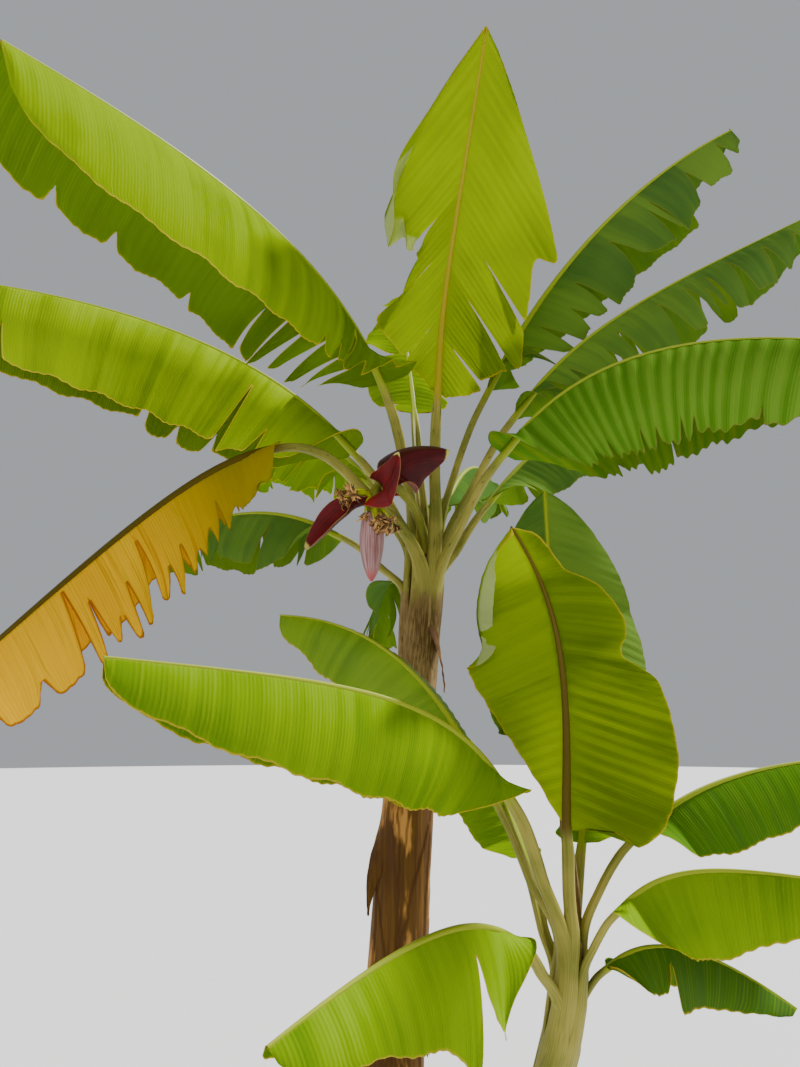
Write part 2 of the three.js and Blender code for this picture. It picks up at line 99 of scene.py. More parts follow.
# Flower, in metres
BUD_TOP = Vector((-0.05, -0.4, 2.405))
BUD_LENGTH = 0.265
BUD_RADIUS = 0.044
BUD_BELLY = 0.66
BUD_LIP = 0.0022
BUD_GRAIN = 0.0008
STALK_RADIUS = 0.021
STALK_RISE = 0.25
FINGER_RADIUS = 0.0072
FINGER_LENGTH = 0.1
PETALS = 9
PETAL_REACH = (0.018, 0.034)
PETAL_WIDTH = (0.0028, 0.0052)
BRACT_THICKNESS = 0.0026
BRACT_WAVE = 0.006

# Leaf blades: metres, degrees and shares of the blade's length or half width
OUTLINE_POWER = 0.42
LEAST_WIDTH = 0.0025
LONG_BLADE = 1.8
WIDE_BLADE = 0.6
SOFT_FOLD = 10
RIPPLE_WAVES = 2.5
BITE_STEEP = 0.3
LIP_START = 0.8
LIP_LIFT = 0.004
LIP_FOLD = 70
# Tint that marks a folded margin, which takes a painted highlight
LIP_HIGHLIGHT_TINT = 3
GROUND_GAP = 0.004

# Tears and the strips between them
TEAR_SWAY = 9
STRIP_TURN = 2.4
OWN_SWAY = (-4, 9)
OWN_TWIST = 0.35
OWN_TRIM = (-0.09, 0.03)
SHRED_PLACES = (0.06, 0.95)
SHRED_SPACING = 0.022
SWING_REACH = 0.75
TEAR_ROUND = 0.012
TEAR_ROUND_REACH = 0.02
MARGIN_RAGGED = 0.004
MOST_GAPE = 0.35
MOST_SHIFT = 0.06

# Leaf stalks, in metres and in shares of the stalk's half width
RIB_RADIUS = 0.022
TIP_RADIUS = 0.005
RIB_NARROW = 0.74
RIB_DROP = 0.55
SKIN_LIFT = 0.001
CLASP_WIDTH = 1.12
CLASP_DEPTH = 0.004
SEAT_WIDTH = 1.35
SEAT_DEPTH = 0.75
SEAT_WRAP = 0.4
SHEATH_ROWS = 14
STALK_ROWS = 22
RIB_ROWS = 44
STALK_SIDES = 18
STALK_MATERIAL = 2

# Dry sheaths, in metres
FLAP_RISE = 0.11
FLAP_GAP = 0.004
FLAP_CURVE = 26
FLAP_THICKNESS = 0.0016

# Finishes, in metres
VEIN_PITCH = 0.0095
PAPER_HEIGHT = 2.17

# Steps along each piece, and round it or across it
STEM_GRID = (280, 132)
SUCKER_GRID = (130, 72)
STALK_GRID = (60, 24)
BUD_GRID = (110, 90)
BRACT_GRID = (64, 32)
FINGER_GRID = (14, 10)
PETAL_GRID = (7, 6)
FLAP_GRID = (90, 14)

# Camera and light: metres, degrees, and (name, strength, angle, turn) for each lamp
CAMERA_PLACE = (0.055, -3.3, 1.6)
CAMERA_TURN = (104, 0, 0)
SENSOR = 36
FOCAL_SHARE = 800 / 1067
LAMPS = (("key", 7.0, 5, (36, 0, 112)), ("fill", 0.6, 50, (62, 0, -30)))
SKY_COLOUR = (0.86, 0.9, 0.95, 1)
SKY_STRENGTH = 0.45
FLOOR_RADIUS = 40
FLOOR_DROP = 0.002


@dataclass
class Leaf:
    """How one leaf grows, in metres and degrees. Pairs are its left and right halves, seen from the stem."""

    # Place on the stem, and the curve of the rib
    name: str
    base: float
    seat: float
    heading: float
    reach: float
    climb: float
    rise: float
    dip: float
    width: float
    inset: float = 0.04
    bow: float = 0.4
    start: float = 0.3
    # Stalk
    petiole: float = 0.026
    sheath: float = 0.42
    # How the halves hang
    roll: float = 0
    fold: tuple = (50, 50)
    curl: tuple = (12, 12)
    sag: tuple = (0, 0)
    lean: float = 0.06
    ripple: float = 0
    pleats: float = 1
    # Outline, with bites as (middle, reach, share of the width) and lips as (low, high, angle of the fold)
    belly: tuple = (0.8, 0.8)
    taper: tuple = (0.42, 0.42)
    bites: tuple = ((), ())
    lips: tuple = ((), ())
    # Tears as places, where they start from the rib, and the angle that each strip hangs by
    tears: tuple = ((), ())
    cut: float = 0.25
    turns: tuple = ((), ())
    # Finer tears: slits as (place, start), and a number of random shreds that start within depth
    slits: tuple = ((), ())
    shreds: tuple = (3, 3)
    depth: tuple = (0.25, 0.85)
    gape: float = 1
    # What it stands for, and its finish
    split: bool = False
    finish: str = "sunlit"

    def nodes(self):
        """The solids that this leaf stands for."""
        return [self.name + "_inner", self.name + "_outer"] if self.split else [self.name]


YOUNG = {"inset": 0.015, "petiole": 0.019, "shreds": (0, 0), "finish": "young", "sheath": 0.3}
BRACT = {"seat": 0, "inset": 0, "lean": 0, "start": 0.05}


def young(*row, **changes):
    """A leaf of the sucker."""
    return Leaf(*row, **(YOUNG | changes))


def bract(*row, **changes):
    """A bract of the flower. Its base is a part of the flower stalk's curve."""
    return Leaf(*row, **(BRACT | changes))


MOTHER_LEAVES = (
    Leaf("leaf_upright", 0.985, 304, -72, 0.769, 1.996, 86, 61, 0.76, inset=0.058, bow=0.532, start=0.28,
         roll=-24, fold=(10, -23), curl=(-6, -18), lean=-1.1, ripple=0.028, belly=(1.8, 2.3),
         taper=(0.55, 0.38), finish="backlit",
         bites=(((0.86, 0.16, -0.5), (0.48, 0.1, -0.14)), ((0.88, 0.13, -0.5), (0.66, 0.09, 0.42))),
         lips=((), (0.66, 0.95, 160)),
         tears=((0.22, 0.45), (0.3, 0.56)), turns=((-6, 6, 0), (0, 8, -24)), shreds=(1, 1)),
    Leaf("leaf_upper_left", 0.985, 180, 236, 1.985, 1.001, 88, -9, 0.9, inset=0.05, bow=0.488,
         fold=(60, 42), curl=(20, 14), sag=(8, -6), taper=(0.24, 0.2), split=True,
         tears=((0.2,), (0.12, 0.3)), shreds=(0, 0), gape=1.1,
         slits=(((0.08, 0.5), (0.13, 0.7), (0.26, 0.75), (0.33, 0.85)),
                ((0.07, 0.3), (0.18, 0.2), (0.24, 0.3), (0.37, 0.5), (0.55, 0.85), (0.74, 0.85),
                 (0.86, 0.8)))),
    Leaf("leaf_left", 0.93, 256, 204.5, 2.0, 0.98, 78, -8, 0.86, start=0.27, fold=(55, 48), curl=(70, 12),
         taper=(0.26, 0.3), split=True, finish="curled", tears=((0.3,), (0.5,)), shreds=(2, 3)),
    Leaf("leaf_upper_right", 0.985, 38, -2, 1.48, 2.107, 82, 28, 0.63, inset=0.05, bow=0.33, start=0.32,
         fold=(34, 80), curl=(10, 4), taper=(0.42, 0.3), finish="shaded",
         tears=((), (0.2, 0.35, 0.5, 0.66, 0.8)), shreds=(2, 9), depth=(0.15, 0.7), gape=1.9),
    Leaf("leaf_right", 0.94, 350, -9, 1.741, 1.607, 70, 24, 0.66, bow=0.473, start=0.32, fold=(45, 56),
         curl=(10, 36), split=True, finish="shaded",
         tears=((0.4, 0.7), (0.2, 0.4, 0.55, 0.7, 0.85)), shreds=(8, 9), depth=(0.15, 0.7), gape=1.9),
    Leaf("leaf_lower_right", 0.888, 322, -33, 1.795, 0.72, 71, -25, 0.9, bow=0.51, fold=(58, 56),
         curl=(12, 44), taper=(0.42, 0.26), pleats=5, split=True, finish="pleated",
         tears=((0.5,), (0.3, 0.6, 0.8)), cut=0.8, shreds=(3, 12), depth=(0.72, 0.94), gape=0.5),
    Leaf("leaf_yellow", 0.885, 274, 225.5, 2.09, -0.71, 63, -47, 0.46, bow=0.62, start=0.42, fold=(70, 70),
         curl=(8, 8), lean=0.4, split=True, finish="old", bites=(((0.42, 0.4, -0.2),), ()),
         tears=((0.25, 0.5, 0.75), (0.15, 0.35, 0.55, 0.75)), cut=0.45,
         shreds=(0, 8), depth=(0.06, 0.4), gape=1.5,
         slits=(((0.1, 0.9), (0.19, 0.82), (0.285, 0.7), (0.33, 0.8), (0.37, 0.5), (0.41, 0.6), (0.45, 0.1),
                 (0.53, 0.65), (0.57, 0.3), (0.6, 0.08), (0.68, 0.7), (0.8, 0.08), (0.86, 0.5),
                 (0.92, 0.35)), ())),
    Leaf("leaf_back_right", 0.905, 58, 28, 1.45, 0.92, 62, -30, 0.56, fold=(55, 55), split=True,
         finish="shaded", tears=((0.3, 0.6), (0.45,)), shreds=(5, 5)),
    Leaf("leaf_back_upright", 0.985, 102, 97, 0.85, 1.75, 86, 62, 0.48, inset=0.05, start=0.42,
         fold=(15, 15), tears=((0.5,), (0.3,)), shreds=(2, 2)),
    Leaf("leaf_back", 0.897, 84, 70, 1.6, 0.85, 70, -32, 0.6, fold=(58, 58), split=True,
         finish="shaded", tears=((0.4,), (0.55,)), shreds=(4, 4)),
    Leaf("leaf_back_left", 0.944, 146, 128, 1.65, 0.85, 70, -30, 0.6, fold=(58, 58), split=True,
         tears=((0.35, 0.7), (0.5,)), shreds=(4, 4)),
    Leaf("leaf_far_left", 0.897, 172, 158, 1.45, 0.32, 62, -40, 0.56, fold=(62, 62), split=True,
         finish="shaded", tears=((0.3, 0.6), (0.4, 0.75)), shreds=(5, 5)),
    Leaf("leaf_back_low", 0.85, 118, 100, 1.45, 0.05, 58, -55, 0.54, fold=(66, 66), curl=(10, 10),
         split=True, finish="shaded", tears=((0.3, 0.5, 0.7), (0.4, 0.6)), shreds=(6, 6)),
)
SUCKER_LEAVES = (
    young("sucker_leaf_upright", 0.97, 250, 238, 0.33, 1.2, 90, 25, 0.65, inset=0.024, bow=0.49, start=0.2,
          roll=26, fold=(6, -10), curl=(-8, -10), lean=-0.35, ripple=0.03, belly=(0.62, 2.1),
          taper=(0.8, 0.6), finish="broad",
          bites=(((0.84, 0.12, 0.4), (0.55, 0.1, 0.3)), ()), lips=((), (0.66, 0.98, 150))),
    young("sucker_leaf_left", 0.9, 240, 214, 1.374, 0.9, 82, 3, 0.56, inset=0.03, bow=0.535, petiole=0.022,
          fold=(62, 60), curl=(30, 10), split=True),
    young("sucker_leaf_inner_left", 0.94, 140, 160, 0.986, 1.083, 72, 4, 0.46, inset=0.03,
          fold=(66, 10), curl=(20, 10), finish="glossy"),
    young("sucker_leaf_low_left", 0.84, 249, 226, 1.057, 0.217, 72, -19, 0.46, inset=0.03, bow=0.473,
          fold=(60, 40), curl=(20, 10), split=True, bites=(((0.16, 0.16, -0.5),), ()),
          tears=((0.3,), ()), turns=((-16, 0), ())),
    young("sucker_leaf_right", 0.93, 30, 6, 0.968, 0.614, 76, 3, 0.42, bow=0.433, start=0.37, petiole=0.017,
          fold=(40, 62), curl=(10, 20), split=True, finish="deep"),
    young("sucker_leaf_low_right", 0.89, 310, -29, 0.75, 0.38, 68, -5, 0.46, bow=0.52, petiole=0.017,
          fold=(50, 64), curl=(12, 24), split=True),
    young("sucker_leaf_small", 0.81, 350, -6, 0.666, 0.12, 70, -35, 0.32, bow=0.566, start=0.28,
          petiole=0.015, finish="deep", tears=((), (0.4,))),
    young("sucker_leaf_tall", 0.97, 78, 82, 0.4, 1.52, 86, 76, 0.64, inset=0.024, start=0.4, petiole=0.018,
          fold=(34, 10), curl=(10, 10), lean=-0.3, ripple=0.02, finish="shaded"),
    young("sucker_leaf_back_right", 0.88, 34, 56, 0.52, 0.9, 72, 40, 0.34, start=0.42, fold=(30, 30)),
    young("sucker_leaf_back", 0.87, 122, 122, 0.5, 0.8, 72, 30, 0.32, start=0.42, fold=(35, 35)),
)
BRACTS = (
    bract("bract_right", 0.8, heading=7, reach=0.28, climb=0.16, rise=80, dip=-8, width=0.33, roll=66,
          fold=(14, 14), curl=(30, 30), belly=(0.6, 0.6), finish="hood"),
    bract("bract_upper", 0.92, seat=312, inset=0.026, heading=-60, reach=0.19, climb=0.13, rise=26, dip=64,
          width=0.15, start=0.08, roll=74, fold=(-36, 0), curl=(-14, 30), lean=-0.5, belly=(0.8, 0.5),
          finish="bract"),
    bract("bract_left", 0.95, heading=168, reach=0.26, climb=-0.165, rise=-2, dip=-34, width=0.15, roll=-58,
          fold=(-12, -12), curl=(-24, -24), belly=(0.9, 0.9), finish="low_bract"),
)


@dataclass
class Hand:
    """A hand of fingers at a height over the bud, in metres and degrees."""

    name: str
    height: float
    facing: float
    spread: float
    count: int
    droop: float
    extra: tuple = ()

    def fingers(self):
        """The bearing, droop and length of each finger."""
        made = []
        for i in range(self.count):
            angle = self.facing + self.spread * (i / (self.count - 1) - 0.5)
            made.append((angle, self.droop + 16 * (i % 2), FINGER_LENGTH * (1 - 0.18 * (i % 3))))
        return made + list(self.extra)


HANDS = (
    Hand("flower_hand_left", 0.064, 190, 84, 14, -10, ((232, 62, 0.085),)),
    Hand("flower_hand_right", 0.026, -30, 100, 16, 46),
)


@dataclass
class Flap:
    """A dry sheath: its part of the stem's curve, bearing, reach from the stem's middle, drop and width."""

    name: str
    base: float
    heading: float
    reach: float
    drop: float
    width: float


DRY_SHEATHS = (
    Flap("dry_sheath_crown", 0.9, -40, 0.19, 0.33, 0.09),
    Flap("dry_sheath_middle", 0.56, 205, 0.16, 0.36, 0.11),
    Flap("dry_sheath_low", 0.36, -35, 0.175, 0.32, 0.12),
)


# Small sums


def smooth(value, low, high):
    """0 below low and 1 above high, with soft ends."""
    part = min(1.0, max(0.0, (value - low) / (high - low)))
    return part * part * (3 - 2 * part)


def lerp(a, b, part):
    return a + (b - a) * part


def bearing(angle):
    turn = math.radians(angle)
    return Vector((math.cos(turn), math.sin(turn), 0))


def bezier(points, t):
    """A point on the curve that these handles give."""
    while len(points) > 1:
        points = [a.lerp(b, t) for a, b in zip(points, points[1:])]
    return points[0]


def bezier_travel(points, t):
    """The way that the curve runs there."""
    steps = [b - a for a, b in zip(points, points[1:])]
    return bezier(steps, t).normalized()


def rough(x, y, seed=0.0):
    """Smooth noise from -1 to 1."""
    return noise.noise(Vector((x, y, seed * 7.31)))


def linear(text):
    """A colour such as #6f9a1c as linear red, green and blue."""
    shares = [int(text[i:i + 2], 16) / 255 for i in (1, 3, 5)]
    return tuple(c / 12.92 if c <= 0.04045 else ((c + 0.055) / 1.055) ** 2.4 for c in shares)


# Settings


def length(name, description, default):
    return FloatProperty(name=name, description=description, default=default, min=0, unit="LENGTH")


def steps(name, description, default):
    return IntProperty(name=name, description=description, default=default, min=4)


def colour(name, description, default):
    return FloatVectorProperty(name=name, description=description, default=linear(default), subtype="COLOR")


class BananaSizes(bpy.types.PropertyGroup):
    """Sizes that a user may change."""

    blade_thickness: length("Blade thickness", "Thickness of a leaf blade", 0.0014)
    pleat_depth: length("Pleat depth", "Depth of the pleats along the side veins", 0.0016)
    pleat_pitch: length("Pleat pitch", "Distance from one pleat to the next", 0.038)
    wave_depth: length("Wave depth", "Depth of the waves in a leaf's margin", 0.012)
    wave_pitch: length("Wave pitch", "Distance from one wave to the next", 0.21)
    tear_gap: length("Tear gap", "Width of a tear at the margin", 0.016)
    sheath_step: length("Sheath step", "Height of a sheath's edge on the stem", 0.0042)
    leaf_rows: steps("Leaf rows", "Steps along a large blade", 220)
    leaf_columns: steps("Leaf columns", "Steps across a large blade", 28)


class BananaColours(bpy.types.PropertyGroup):
    """Colours that a user may change."""

    leaf_face: colour("Leaf face", "Sunlit upper side of a grown leaf", "#92b004")
    leaf_shade: colour("Leaf shade", "Darker patches of a leaf's upper side", "#567204")
    leaf_under: colour("Leaf underside", "Lower side of a grown leaf", "#688410")
    # Painted highlight: the pale colour of the folded margins where the sun catches them
    lip_highlight: colour("Pale leaf", "Folded margins of the upright leaves", "#d4dc9c")
    leaf_glow: colour("Leaf glow", "Light that comes through a blade", "#b8d800")
    warm_glow: colour("Warm glow", "Light that comes through an upright blade", "#c2cf00")
    leaf_vein: colour("Leaf vein", "Veins and midrib stripe", "#a9be2c")
    leaf_rib: colour("Midrib", "Midrib of a leaf", "#98a424")
    brown_rib: colour("Brown midrib", "Midrib of a leaf with the light behind it", "#5a4a0c")
    gold_rib: colour("Golden midrib", "Midrib of the upright leaf", "#a4941c")
    # Painted light and shade: upper side of the pleated leaf, lighter on the pleat tops
    pleat_face: colour("Pleated leaf", "Upper side of the pleated leaf", "#6b942a")
    # Painted shade: vein and margin colours of leaves that face away from the light
    painted_shade_vein: colour("Cool vein", "Veins of a leaf that faces away from the light", "#7f9a48")
    painted_shade_margin: colour("Cool margin", "Dry edge of such a leaf", "#7a7a34")
    leaf_margin: colour("Leaf margin", "Dry edge of a blade", "#d0b03a")
    # Painted shade: face colours of leaves that face away from the light
    cool_face: colour("Cool leaf", "Upper side of a leaf that faces away from the light", "#6c8c36")
    painted_shade_dark: colour("Cool shade", "Darker patches of such a leaf", "#44662e")
    young_face: colour("Young leaf", "Upper side of a sucker's leaf", "#8fb406")
    young_shade: colour("Young shade", "Darker patches of a sucker's leaf", "#567e06")
    # Painted shade: the darker green of sucker leaves that stand in shade, and of the pleat feet
    deep_face: colour("Deep leaf", "Upper side of the sucker's darker leaves", "#4c7a14")
    old_face: colour("Old leaf", "Yellow of the oldest leaf", "#ffd400")
    old_shade: colour("Old shade", "Deeper yellow of the oldest leaf", "#f4c008")
    old_brown: colour("Old brown", "Brown streaks of the oldest leaf", "#a25a10")
    stalk_pale: colour("Stalk", "Leaf stalks and midribs", "#a59a46")
    stalk_green: colour("Stalk green", "Greener parts of the stalks", "#74762a")
    stain: colour("Stain", "Brown stains on stalks and sheaths", "#47290a")
    stem_olive: colour("Stem olive", "Living sheaths of the stem", "#83761e")
    stem_dry: colour("Stem dry", "Dry outer sheaths", "#6e4e18")
    stem_tan: colour("Stem tan", "Papery sheaths under the crown", "#94784a")
    stem_peach: colour("Stem peach", "Fresh torn patches of the dry sheaths", "#cf9448")
    bract_outer: colour("Bract outside", "Outer side of the bracts", "#560a0c")
    bract_inner: colour("Bract inside", "Inner side of the bracts", "#761218")
    bract_base: colour("Bract base", "Foot of a bract's inner side", "#b02a14")
    bract_tip: colour("Bract tip", "Tips of the bracts", "#ccc860")
    bract_rim: colour("Bract margin", "Thin margin of the bracts", "#a06a3a")
    bud_pink: colour("Bud", "Closed bud", "#b98484")
    bud_grey: colour("Bud bloom", "Grey bloom on the bud", "#b3a8a8")
    bud_stripe: colour("Bud stripe", "Darker stripes along the bud", "#7a4440")
    bud_tip: colour("Bud tip", "Tip of the bud", "#c04a4e")
    finger: colour("Finger", "Young banana fingers", "#b9c21e")
    floret: colour("Floret", "Dry flowers at the fingers' tips", "#a87c42")
    floor: colour("Floor", "Studio floor", "#dcdcda")


# Finishes


class Socket:
    """A value inside a finish. Its operators add Math nodes."""

    def __init__(self, finish, socket):
        self.finish = finish
        self.socket = socket

    def __add__(self, other):
        return self.finish.math("ADD", self, other)

    __radd__ = __add__

    def __mul__(self, other):
        return self.finish.math("MULTIPLY", self, other)

    __rmul__ = __mul__

    def __sub__(self, other):
        return self.finish.math("SUBTRACT", self, other)

    def __rsub__(self, other):
        return self.finish.math("SUBTRACT", other, self)

    def __abs__(self):
        return self.finish.math("ABSOLUTE", self)


class Finish:
    """A procedural material under construction."""

    def __init__(self, name):
        self.material = bpy.data.materials.new(name)
        self.material.use_nodes = True
        self.tree = self.material.node_tree
        self.tree.nodes.clear()

    def add(self, kind, settings, inputs):
        """Adds a node: its settings first, then the values or links of its sockets."""
        made = self.tree.nodes.new(kind)
        for key, value in settings.items():
            setattr(made, key, value)
        for key, value in inputs.items():
            self.feed(made.inputs[key], value)
        return made

    def node(self, kind, output, settings, inputs):
        """Adds a node and returns the named output."""
        return Socket(self, self.add(kind, settings, inputs).outputs[output])

    def feed(self, socket, value):
        if isinstance(value, Socket):
            self.tree.links.new(value.socket, socket)
        elif socket.type == "RGBA":
            socket.default_value = (*value, 1)
        else:
            socket.default_value = value

    def math(self, operation, *values):
        return self.node("ShaderNodeMath", 0, {"operation": operation}, dict(enumerate(values)))

    def sine(self, value):
        return self.math("SINE", value)

    def vector(self, x, y, z):
        return self.node("ShaderNodeCombineXYZ", 0, {}, {0: x, 1: y, 2: z})

    def attribute(self, name, output="Fac"):
        return self.node("ShaderNodeAttribute", output, {"attribute_name": name}, {})

    def flow(self):
        """The piece's own directions: across, depth or distance to an edge, and along."""
        parts = self.add("ShaderNodeSeparateXYZ", {}, {0: self.attribute("flow", "Vector")})
        return [Socket(self, output) for output in parts.outputs]

    def height(self):
        """The height above the ground, in metres."""
        spot = self.node("ShaderNodeTexCoord", "Object", {}, {})
        return self.node("ShaderNodeSeparateXYZ", "Z", {}, {"Vector": spot})

    def place(self, scale):
        """Object coordinates, scaled by (x, y, z)."""
        spot = self.node("ShaderNodeTexCoord", "Object", {}, {})
        return self.node("ShaderNodeMapping", 0, {}, {"Vector": spot, "Scale": scale})

    def noise(self, vector, scale=1.0, detail=2.0, roughness=0.5):
        inputs = {"Vector": vector, "Scale": scale, "Detail": detail, "Roughness": roughness}
        return self.node("ShaderNodeTexNoise", 0, {}, inputs)

    def ramp(self, value, low, high, start=0.0, end=1.0):
        """start below low and end above high, with soft ends."""
        inputs = {"Value": value, "From Min": low, "From Max": high, "To Min": start, "To Max": end}
        return self.node("ShaderNodeMapRange", 0, {"interpolation_type": "SMOOTHSTEP"}, inputs)

    def mix(self, factor, a, b):
        """Mixes two colours."""
        return self.node("ShaderNodeMix", 2, {"data_type": "RGBA"}, {0: factor, 6: a, 7: b})

    def bump(self, height, distance):
        return self.node("ShaderNodeBump", 0, {}, {"Height": height, "Distance": distance, "Strength": 1.0})

    def close(self, glow=0.0, glow_colour=(1, 1, 1), **inputs):
        """Ends the finish with a Principled shader, part of it translucent where it glows."""
        inputs = {key.replace("_", " "): value for key, value in inputs.items()}
        shader = self.node("ShaderNodeBsdfPrincipled", 0, {}, inputs)
        if glow:
            through = self.node("ShaderNodeBsdfTranslucent", 0, {}, {"Color": glow_colour})
            shader = self.node("ShaderNodeMixShader", 0, {}, {0: glow, 1: shader, 2: through})
        self.add("ShaderNodeOutputMaterial", {}, {"Surface": shader})
        return self.material


@dataclass
class Look:
    """What sets one kind of blade apart: its colours, its gloss, how far light goes through, and its age."""

    glow: float
    glow_colour: tuple
    rib: tuple
    vein: tuple
    margin: tuple
    brown: tuple
    # lip is the colour of a painted highlight on the folded margins
    lip: tuple = None
    gloss: float = 0.55
    shine: float = 0.0
    wither: float = 0.0
    mottle: float = 0.25


def scaled(colour, factor):
    """A darker or brighter version of a colour."""
    return tuple(factor * part for part in colour)


def blade_finish(name, face, shade, look):
    """A leaf blade: fine side veins, pale midrib stripe, mottled green and a dry margin. On a pleated leaf
    the mottle follows the pleats as painted light and shade, and folded margins take a painted highlight.
    """
    finish = Finish(name)
    across, edge, along = finish.flow()
    tint = finish.attribute("tint")
    streak = finish.noise(finish.vector(across * 2.5, tint * 9, along * 170), detail=3)
    band = finish.noise(finish.vector(across * 0.8, tint * 5, along * 26), detail=2)
    patch = finish.noise(finish.place((1, 1, 1)), scale=2.6, detail=3)
    veins = finish.sine(along * (2 * math.pi / VEIN_PITCH)) * 0.5 + 0.5
    base = finish.mix(finish.ramp(patch * 0.5 + band * 0.35 + tint * look.mottle, 0.38, 0.72), shade, face)
    veined = finish.mix(finish.ramp(streak * 0.75 + veins * 0.25, 0.45, 0.8) * 0.3, base, look.vein)
    striped = finish.mix(finish.ramp(abs(across), 0.004, 0.012, 0.85, 0), veined, look.rib)
    rim = finish.ramp(edge + streak * 0.006 - look.wither * 0.003, 0.003, 0.010, 1, 0)
    skin = finish.mix(rim, striped, look.margin)
    # Painted highlight: folded margins turn pale
    if look.lip:
        skin = finish.mix(finish.ramp(tint, 1.2, 2.6, 0, 0.75), skin, look.lip)
    if look.wither:
        fresh = finish.ramp(along + patch * 0.3, 0.3, 1.05, 0.85, 0)
        skin = finish.mix(fresh, skin, scaled(look.vein, 0.45))
        spots = finish.ramp(streak * 0.45 + patch * 0.35 + band * 0.35, 0.6, 0.74)
        skin = finish.mix(spots * look.wither, skin, look.brown)
    height = veins * 0.5 + streak * 0.8 + band * 0.6
    return finish.close(glow=look.glow, glow_colour=look.glow_colour, Base_Color=skin,
                        Roughness=finish.ramp(streak, 0, 1, look.gloss, look.gloss + 0.16),
                        Normal=finish.bump(height, 0.0011), Specular_IOR_Level=look.shine)


def stalk_finish(name, pale, green, stain, dry, rib, dry_height):
    """A leaf stalk: flecked olive flesh, papery below dry_height. Attribute tint is 1 under the blade."""
    finish = Finish(name)
    across, depth, along = finish.flow()
    fibre = finish.noise(finish.vector(across * 260, depth * 260, along * 5), detail=2)
    patch = finish.noise(finish.place((1, 1, 1)), scale=5, detail=3)
    fleck = finish.noise(finish.vector(across * 90, depth * 90, along * 22), detail=3, roughness=0.65)
    flesh = finish.mix(finish.ramp(patch * 0.6 + fibre * 0.4, 0.35, 0.65), pale, green)
    height = finish.height() - patch * 0.34 - fibre * 0.16 - fleck * 0.1 + 0.3
    low = finish.ramp(height, dry_height - 0.06, dry_height + 0.04, 1, 0)
    papery = finish.mix(finish.ramp(fibre * 0.4 + patch * 0.4 + fleck * 0.3, 0.42, 0.66), stain, dry)
    flecked = finish.mix(finish.ramp(fleck + low * 0.04, 0.62, 0.72) * 0.7, flesh, stain)
    flecked = finish.mix(low * 0.9, flecked, papery)
    ribbed = finish.mix(finish.ramp(finish.attribute("tint"), 0.3, 1), flecked, rib)
    return finish.close(Base_Color=ribbed, Roughness=finish.ramp(fibre, 0, 1, 0.42, 0.62),
                        Normal=finish.bump(fibre * 0.6 + fleck * 0.4, 0.0012), Specular_IOR_Level=0.15)


def stem_finish(name, olive, dry, peach, stain):
    """Overlapping sheaths: olive where alive, brown and papery where dry. Attribute tint says how dry."""
    finish = Finish(name)
    dryness = finish.attribute("tint")
    edge = finish.flow()[1]
    fibre = finish.noise(finish.place((55, 55, 2.2)), detail=4, roughness=0.6)
    fine = finish.noise(finish.place((240, 240, 9)), detail=2)
    patch = finish.noise(finish.place((7, 7, 2.4)), detail=3)
    torn = finish.noise(finish.place((9, 9, 2.6)), detail=4, roughness=0.6)
    alive = finish.mix(finish.ramp(fibre, 0.3, 0.7), olive, scaled(olive, 0.55))
    papery = finish.mix(finish.ramp(fibre * 0.6 + patch * 0.5, 0.35, 0.75), stain, dry)
    skin = finish.mix(finish.ramp(dryness + patch * 0.5 + fibre * 0.2 - 0.35, 0.3, 0.62), alive, papery)
    fresh = finish.mix(finish.ramp(torn * 0.8 + dryness * 0.12 + fibre * 0.1, 0.57, 0.66) * 0.8, skin, peach)
    lined = finish.mix(finish.ramp(edge, 0.002, 0.007, 1, 0) * 0.6, fresh, stain)
    return finish.close(Base_Color=lined, Roughness=finish.ramp(fibre, 0, 1, 0.5, 0.8),
                        Normal=finish.bump(fibre * 0.7 + fine * 0.3, 0.003), Specular_IOR_Level=0.15)


def bract_finish(name, base, middle, tip, rim, gloss, tipped):
    """A flower bract: lengthwise stripes. Attribute tint runs from its base to its tip."""
    finish = Finish(name)
    across, edge, along = finish.flow()
    part = finish.attribute("tint")
    stripe = finish.noise(finish.vector(across * 150, 0, along * 5), detail=3, roughness=0.6)
    patch = finish.noise(finish.place((14, 14, 14)), detail=2)
    deep = finish.mix(finish.ramp(stripe * 0.6 + patch * 0.4, 0.35, 0.65), scaled(middle, 0.45), middle)
    low = finish.mix(finish.ramp(part + stripe * 0.2, 0.1, 0.34), base, deep)
    high = finish.mix(finish.ramp(part + stripe * 0.03, tipped, tipped + 0.03), low, tip)
    rimmed = finish.mix(finish.ramp(edge + stripe * 0.002, 0.0015, 0.0035, 0.8, 0), high, rim)
    return finish.close(Base_Color=rimmed, Roughness=finish.ramp(stripe, 0, 1, gloss, gloss + 0.2),
                        Normal=finish.bump(stripe, 0.0012), Specular_IOR_Level=0.2)


def bud_finish(name, skin, bloom, stripe_colour, tip):
    """The closed bud: pale bloom over pink skin, with brown-pink stripes along it."""
    finish = Finish(name)
    side, depth, along = finish.flow()
    part = finish.attribute("tint")
    stripe = finish.noise(finish.vector(side * 11, depth * 11, along * 6), detail=3, roughness=0.6)
    fine = finish.noise(finish.vector(side * 40, depth * 40, along * 8), detail=2)
    base = finish.mix(finish.ramp(stripe * 0.7 + fine * 0.3, 0.4, 0.56), stripe_colour, skin)
    dusty = finish.mix(finish.ramp(fine * 0.5 + stripe * 0.5, 0.45, 0.7) * 0.7, base, bloom)
    ended = finish.mix(finish.ramp(part, 0.03, 0.22, 0.85, 0), dusty, tip)
    return finish.close(Base_Color=ended, Roughness=finish.ramp(fine, 0, 1, 0.45, 0.62),
                        Normal=finish.bump(stripe * 0.6 + fine * 0.4, 0.0012))


